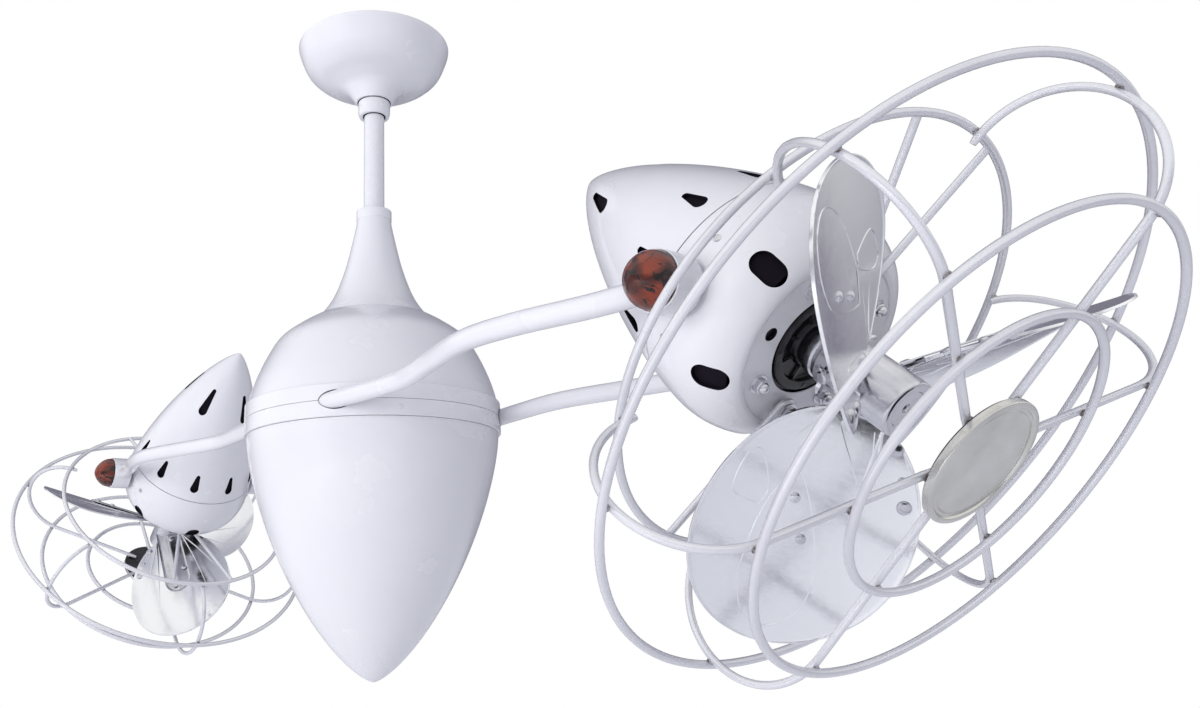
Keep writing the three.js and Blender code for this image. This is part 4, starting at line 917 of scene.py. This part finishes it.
# Lines pressed into a blade's front, the pleats behind it, and its rivets (the third number is their size).
LOOP = [(61, -14), (82, -20), (106, -21), (134, -17), (155, -8), (165, 4), (162, 18), (146, 28), (120, 26),
        (90, 10), (72, -3)]
TAB = [(92, -25), (88, -44), (64, -46), (60, -38), (80, -24)]
FOLD = [(30, -2), (46, 12), (62, 28), (44, 25), (26, 18)]
PLEATS = [[(26, -14), (60, -32), (100, -50)], [(26, 22), (60, 36), (104, 58)],
          [(24, -13), (70, -22), (126, -30)], [(24, 22), (74, 28), (130, 36)]]
RIVETS = [(31, 34, 5.6), (46, 45, 3.4), (60, 53, 5.6), (27, 2, 5.6), (81, -6, 4.2), (104, 9, 4.2)]


def bead_line(points, closed, lift, count):
    """Points of a pressed line, on the blade's surface."""
    ring = points + points[:1] if closed else points
    run = flowing(ring, count)
    return [(x, y, blade_lift(x, y) + lift) for x, y in (run[:-1] if closed else run)]


def blade(word, number, degrees, place):
    """A cupped petal of polished sheet, with a rolled edge, pressed lines and pleats."""
    half_length = BLADE_LENGTH / 2
    middle = BLADE_REACH - half_length
    start, end = acos((middle - BLADE_ROOT) / half_length), radians(179.2)
    made = bmesh.new()
    rows, columns = 60, 48
    grids = []
    for top in (False, True):
        grid = []
        for i in range(rows + 1):
            s = i / rows
            a = start + (end - start) * s
            x, half = middle - half_length * cos(a), BLADE_WIDTH / 2 * sin(a)
            row = []
            for j in range(columns + 1):
                v = sin(pi / 2 * (2 * j / columns - 1))
                y = BLADE_SWEEP + half * v
                edge = min(half * (1 - abs(v)), (1 - s) * 30 + 0.2)
                roll = 0.7 * exp(-((edge / 1.5) ** 2))
                thin = 0.35 * exp(-((edge / 0.5) ** 2))
                rise = BLADE_SHEET * (1 - thin) + roll if top else BLADE_SHEET * thin / 2 - 0.2 * roll
                row.append(made.verts.new((x, y, blade_lift(x, y) + rise)))
            grid.append(row)
        grids.append(grid)
    skinned(made, *grids)
    for line, closed, count in ((LOOP, True, 90), (TAB, True, 60), (FOLD, False, 40)):
        wire(bead_line(line, closed, BLADE_SHEET - 0.15, count), 0.5, (0, 0, 1), 8, closed, made)
    for pleat in PLEATS:
        wire(bead_line(pleat, False, 0.3, 40), lambda share: 1.5 * (1 - share) + 0.3, (0, 0, 1), 8, False, made)
    finished(f"{word}_petal_{number}", made, f"{word}_rotor", [mirror_metal],
             place @ blade_place(degrees), [f"{word}_blade_{number}"], sharp=40)


def blade_holder(word, phase, place):
    """The hub, its brackets behind the blades, and the rivets through both."""
    groove, end = HUB_RADIUS - 2, HUB_FRONT - 2.2
    made = turned(rounded([
        (0, -12), (6, -12, 0.6), (6, HUB_REAR), (HUB_RADIUS - 1, HUB_REAR, 0.8),
        (HUB_RADIUS - 1, HUB_REAR + 6, 0.4), (groove, HUB_REAR + 7, 0.4), (groove, HUB_REAR + 10, 0.4),
        (HUB_RADIUS, HUB_REAR + 11, 0.6), (HUB_RADIUS, HUB_FRONT, 2.4), (HUB_RADIUS - 5.5, HUB_FRONT, 0.8),
        (HUB_RADIUS - 7, end, 0.8), (3, end, 0.4), (2.4, HUB_FRONT - 4), (0, HUB_FRONT - 4)]), 80)
    for k in range(BLADES):
        turn = phase + 360 / BLADES * k
        stand = blade_place(turn)
        bracket(made, stand)
        for x, y, size in RIVETS:
            under = -SEAT_GAP - (2.2 if -22 < y < 22 else 0)  # the bracket's thickness, where it runs
            for way, base in ((1, BLADE_SHEET), (-1, under)):
                at = standing((x, y, blade_lift(x, y) + base), (0, 0, way))
                screw_head(made, stand @ at, size * 0.8, 1.7, False)
        out = heading(turn + 60)
        set_screw(made, standing(out * HUB_RADIUS + Vector((0, 0, HUB_REAR + 20)), out))
    finished(f"{word}_hub_and_brackets", made, f"{word}_rotor", [bracket_metal], place,
             [f"{word}_blade_holder"], sharp=28)


def bracket(made, stand):
    """A pressed strap from the hub, creased along its middle and turned down along its sides."""
    rows, columns = 46, 24
    root = HUB_RADIUS / 2
    grids = []
    for level in (0, 1):
        grid = []
        for i in range(rows + 1):
            x = root + (BRACKET_REACH - root) * i / rows
            half = (BRACKET_WIDTH + 4 * i / rows) / 2
            toe = BRACKET_REACH - x
            if toe < half:
                half = sqrt(max(1.0, half * half - (half - toe) ** 2))
            row = []
            for j in range(columns + 1):
                v = 2 * j / columns - 1
                y = BLADE_SWEEP + half * v
                crease = 1.1 * exp(-((v * 4.5) ** 2)) + max(0.0, abs(v) - 0.86) / 0.14
                z = blade_lift(x, y) - SEAT_GAP - BRACKET_SHEET * level - 0.9 * crease
                row.append(made.verts.new(stand @ Vector((x, y, z))))
            grid.append(row)
        grids.append(grid)
    skinned(made, grids[1], grids[0])


def set_screw(made, place):
    """A screw in the hub, held by a spring washer with two leaves bent up."""
    turned(rounded([(0, -1), (4.2, -1), (4.2, 2.2, 0.8), (0, 2.2)]), 6, made, place)
    section = [(v, 0.0) for v in (-1, 0, 1)] + [(v, 0.7) for v in (1, 0, -1)]
    for way in (1, -1):
        rows = []
        for i in range(13):
            s = i / 12
            half = 2.6 * sin(pi * min(1.0, s * 0.9 + 0.1)) + 0.15
            rise = 0.4 + 3.4 * s ** 1.6
            leaf = [(way * (3 + 8 * s), half * v, rise + up - 0.8 * (1 - v * v)) for v, up in section]
            rows.append([made.verts.new(place @ Vector(p)) for p in leaf])
        for a, b in zip(rows, rows[1:]):
            for k in range(6):
                made.faces.new((a[k], a[(k + 1) % 6], b[(k + 1) % 6], b[k]))
        made.faces.new(rows[0])
        made.faces.new(rows[-1][::-1])


# ---- Cage ----

def round_ring(radius, z):
    return wire([(*p, z) for p in circle(radius, 168)], RING_WIRE / 2, (0, 0, 1), 14, True)


def bend_angle(radius):
    """Where on the ribs' bend a ring of a radius rests, as an angle from the front."""
    return asin((radius - BEND_CENTRE) / (BEND_RADIUS + WIRE_SEAT))


def cage(word, setting, place):
    """The rings, ribs and struts, and the stained beads where they are brazed."""
    seat = BEND_RADIUS + WIRE_SEAT
    outer_radius = BEND_CENTRE + seat
    middle_angle, rear_angle = bend_angle(MIDDLE_RING), pi - bend_angle(REAR_RING)
    heights = (CAGE_FRONT + WIRE_SEAT, BEND_Z + seat * cos(middle_angle), BEND_Z)
    for number, (radius, z) in enumerate(zip((FRONT_RING, MIDDLE_RING, outer_radius), heights), 1):
        head_piece(word, f"hoop_{number}", round_ring(radius, z), [cage_paint], place,
                   f"ring_{number}")
    size, half_seat, front = SPOKE_WIRE / 2, WIRE_SEAT / 2, Vector((0, 0, 1))
    line = [(SPOKE_INNER + (BEND_CENTRE - SPOKE_INNER) * k / 12, 0, CAGE_FRONT) for k in range(12)]
    for a in (pi * k / 48 for k in range(49)):
        line.append((BEND_CENTRE + BEND_RADIUS * sin(a), 0, BEND_Z + BEND_RADIUS * cos(a)))
    beads = bmesh.new()
    for number in range(SPOKES):
        turn = turn_by(setting["spokes"] + 360 / SPOKES * number)
        made = wire(line, lambda s: size * (0.8 if s in (0.0, 1.0) else 1.0), (0, 1, 0), 14)
        head_piece(word, f"rib_{number + 1}", made, [cage_paint], place @ turn,
                   f"spoke_{number + 1}")
        braze(beads, turn @ Vector((FRONT_RING, 0, CAGE_FRONT + half_seat)), front, number * 7 + FRONT_RING)
        for radius, angle in ((MIDDLE_RING, middle_angle), (outer_radius, pi / 2), (REAR_RING, rear_angle)):
            out = Vector((sin(angle), 0, cos(angle)))
            at = Vector((BEND_CENTRE, 0, BEND_Z)) + out * (BEND_RADIUS + half_seat)
            braze(beads, turn @ at, turn.to_3x3() @ out, number * 7 + radius)
        braze(beads, turn @ Vector((BADGE_RADIUS - 3.5, 0, CAGE_FRONT + size * 0.8)), front, number * 3.1)
    rear_hoop(word, place, BEND_Z + seat * cos(rear_angle), beads)
    head_piece(word, "brazed_joints", beads, [weld_stain], place)


def rear_hoop(word, place, rear_z, beads):
    """The rear ring, and two struts that each run from it round a bolt on the housing's face and back."""
    made = round_ring(REAR_RING, rear_z)
    size = SPOKE_WIRE / 2
    z, bend = FACE_Z + SEAT_GAP + size, STRUT_BOLT + SEAT_GAP + size
    foot = heading(STRUT_SPREAD) * REAR_RING
    across, up = foot.x - FACE_BOLTS, foot.y
    touch = atan2(up, across) + acos(bend / hypot(across, up))
    round_bolt = (touch + (2 * pi - 2 * touch) * k / 36 for k in range(37))
    eye = [(FACE_BOLTS + bend * cos(a), bend * sin(a)) for a in round_bolt]
    legs = [(foot.x + (eye[0][0] - foot.x) * k / 10, foot.y + (eye[0][1] - foot.y) * k / 10) for k in range(10)]
    strut = legs + eye + [(x, -y) for x, y in legs[::-1]]
    for way in (90, -90):
        turn = turn_by(way)
        wire([(x, y, z) for x, y in strut], size, (0, 0, 1), 14, into=made, place=turn)
        for side in (1, -1):
            at = turn @ Vector((foot.x, side * foot.y, (z + rear_z) / 2))
            braze(beads, at, Vector((0, 0, 1)), way + side)
    head_piece(word, "rear_hoop_and_struts", made, [cage_paint], place, "rear_cage")


def braze(into, at, out, seed):
    """A small uneven bead between two wires."""
    place = standing(at, out)
    before = len(into.verts)
    bmesh.ops.create_icosphere(into, subdivisions=2, radius=1.0, matrix=Matrix.Identity(4))
    into.verts.ensure_lookup_table()
    for v in into.verts[before:]:
        lump = 1 + 0.25 * noise.noise(v.co * 1.7 + Vector((seed, seed * 0.37, 0)))
        v.co = place @ Vector((v.co.x * 2.5 * lump, v.co.y * 2.5 * lump, v.co.z * 1.7 * lump))


def badge(word, place):
    """The plain nickel disc on the ribs, with a thick rim, a sunk face and a dark back."""
    back = CAGE_FRONT + SPOKE_WIRE / 2 + SEAT_GAP
    front = back + BADGE_THICKNESS
    sunk = front - 1.7
    outline = [(0, back), (BADGE_RADIUS - 1.5, back)]
    for inwards, z, radius in ((0, back + 1.4, 1.0), (0, front - 0.4, 1.3), (3.4, front, 1.1), (4.2, sunk, 0.6),
                               (6.0, sunk, 0.3), (6.5, front - 1.2, 0.3), (7.0, sunk, 0.3)):
        outline.append((BADGE_RADIUS - inwards, z, radius))
    outline.append((0, front - 1.4))
    made = turned(rounded(outline), 112, dark=(0, 2))
    head_piece(word, "badge_disc", made, [nickel, black_case], place, "badge")


def fan_head(word, setting):
    place = head_place(setting["side"])
    rear_shell(word, setting, place)
    front_shell(word, place)
    housing_fixings(word, place)
    vent_shade_lining(word, place)
    fan_motor(word, place)
    tilt_pivots(word, place)
    blade_holder(word, setting["rotor"], place)
    for k in range(BLADES):
        blade(word, k + 1, setting["rotor"] + 360 / BLADES * k, place)
    cage(word, setting, place)
    badge(word, place)


canopy_and_rod()
hanging_cone()
body_shells()
bands()
arms()
for word, setting in HEADS.items():
    fan_head(word, setting)

# Solids that stay as they are, inside the canopy and the body.
for name, finish in (
    ("ceiling_bracket", zinc), ("arm_carrier", zinc), ("hanger_ball", black_case), ("turn_motor", black_case)
):
    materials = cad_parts[name].data.materials
    materials.clear()
    materials.append(finish)


# ---- Studio ----

def studio_floor():
    """A pale floor below the fan, seen only in views from above."""
    made = bmesh.new()
    bmesh.ops.create_grid(made, x_segments=8, y_segments=8, size=4.0, matrix=Matrix.Translation((0, 0, -1.25)))
    mesh = bpy.data.meshes.new("floor")
    made.to_mesh(mesh)
    made.free()
    finish, tree, shader = new_finish("pale_floor", 0.0, specular=0.2)
    patches = peeled(tree, 40.0, 2.0)[0]
    feed(tree, shader.inputs["Base Color"], blended(tree, patches, (0.9, 0.9, 0.91), (0.93, 0.93, 0.94)))
    shader.inputs["Roughness"].default_value = 0.8
    mesh.materials.append(finish)
    in_scene("floor", mesh)


def studio_light(name, at, target, size, power, colour):
    """A square lamp aimed at a point, left out of reflections."""
    lamp = bpy.data.lights.new(name, "AREA")
    lamp.shape, lamp.size, lamp.energy, lamp.color = "SQUARE", size, power, colour
    thing = in_scene(name, lamp)
    thing.location = at
    thing.rotation_euler = (Vector(target) - Vector(at)).to_track_quat("-Z", "Y").to_euler()
    thing.visible_glossy = False


def studio_world():
    """A white surround for the camera, a shaded one for reflections and a soft cool one for lighting."""
    world = bpy.data.worlds.new("surround")
    world.use_nodes = True
    tree = world.node_tree
    tree.nodes.clear()
    path = tree.nodes.new("ShaderNodeLightPath")
    toward = tree.nodes.new("ShaderNodeTexCoord").outputs["Generated"]
    height = ranged(tree, node(tree, "ShaderNodeSeparateXYZ", [(0, toward)]).outputs[2], -1, 1)
    shade = node(tree, "ShaderNodeValToRGB", [(0, height)])
    stops = shade.color_ramp.elements
    stops[0].color, stops[1].color = (0.78, 0.79, 0.86, 1), (1, 1, 1, 1)
    for at, tone in ((0.38, (0.72, 0.73, 0.8, 1)), (0.48, (0.4, 0.4, 0.46, 1)), (0.6, (1, 1, 1, 1))):
        stops.new(at).color = tone
    card = node(tree, "ShaderNodeVectorMath", [(0, toward)], operation="DOT_PRODUCT")
    card.inputs[1].default_value = (-0.753, 0.595, 0.282)  # where the lower blades' reflections come from
    dark_card = ranged(tree, card.outputs["Value"], 0.35, 0.8)
    reflected = blended(tree, dark_card, shade.outputs[0], (0.2, 0.19, 0.24))
    rising = blended(tree, height, (0.86, 0.87, 0.95), (0.72, 0.74, 0.82))
    around = node(tree, "ShaderNodeBackground", [(0, rising)], strength=0.74)
    mirrored = node(tree, "ShaderNodeBackground", [(0, reflected)], strength=1.0)
    plain = node(tree, "ShaderNodeBackground", strength=1.0)
    plain.inputs[0].default_value = (1, 1, 1, 1)
    seen = maths(tree, "MAXIMUM", path.outputs["Is Camera Ray"], path.outputs["Is Transmission Ray"])
    light = around.outputs[0]
    for ray, surround in ((path.outputs["Is Glossy Ray"], mirrored), (seen, plain)):
        light = node(tree, "ShaderNodeMixShader", [(0, ray), (1, light), (2, surround.outputs[0])]).outputs[0]
    tree.links.new(light, tree.nodes.new("ShaderNodeOutputWorld").inputs[0])
    bpy.context.scene.world = world


PHOTO_WIDTH, PHOTO_HEIGHT = 1200, 708
LENS_PIXELS, LENS_MIDDLE = 983.6, (476.75, 313.2)
CAMERA_AT, YAW, PITCH, ROLL = (0.8363, -0.5247, -0.5985), 0.902, 0.286, -0.030


def place_camera():
    """The photograph's viewpoint, solved from the fan's own outlines."""
    ahead = Vector((-sin(YAW) * cos(PITCH), cos(YAW) * cos(PITCH), sin(PITCH)))
    level = Vector((cos(YAW), sin(YAW), 0))
    upright = level.cross(ahead)
    right = cos(ROLL) * level + sin(ROLL) * upright
    top = -sin(ROLL) * level + cos(ROLL) * upright
    data = bpy.data.cameras.new("camera")
    data.sensor_width = 36.0
    data.lens = LENS_PIXELS * data.sensor_width / PHOTO_WIDTH
    data.shift_x = (PHOTO_WIDTH / 2 - LENS_MIDDLE[0]) / PHOTO_WIDTH
    data.shift_y = (LENS_MIDDLE[1] - PHOTO_HEIGHT / 2) / PHOTO_WIDTH
    data.clip_start, data.clip_end = 0.02, 40
    camera = in_scene("camera", data)
    camera.matrix_world = Matrix.Translation(CAMERA_AT) @ Matrix((right, top, -ahead)).transposed().to_4x4()
    bpy.context.scene.camera = camera


studio_floor()
studio_world()
for name, at, target, size, power, colour in (
    ("key", (0.3, -2.6, -0.3), (0.0, 0.0, -0.4), 1.6, 38, (1.0, 0.99, 0.97)),
    ("fill", (2.5, -1.3, -0.7), (0.3, 0.0, -0.45), 1.8, 12, (0.96, 0.97, 1.0)),
    ("side", (-2.4, -1.6, 0.2), (-0.1, 0.0, -0.4), 1.6, 14, (0.96, 0.97, 1.0)),
    ("back", (-0.6, 2.4, 0.6), (0.0, 0.0, -0.4), 1.6, 8, (0.95, 0.96, 1.0)),
):
    studio_light(name, at, target, size, power, colour)
place_camera()
bpy.context.scene.view_settings.view_transform = "Standard"
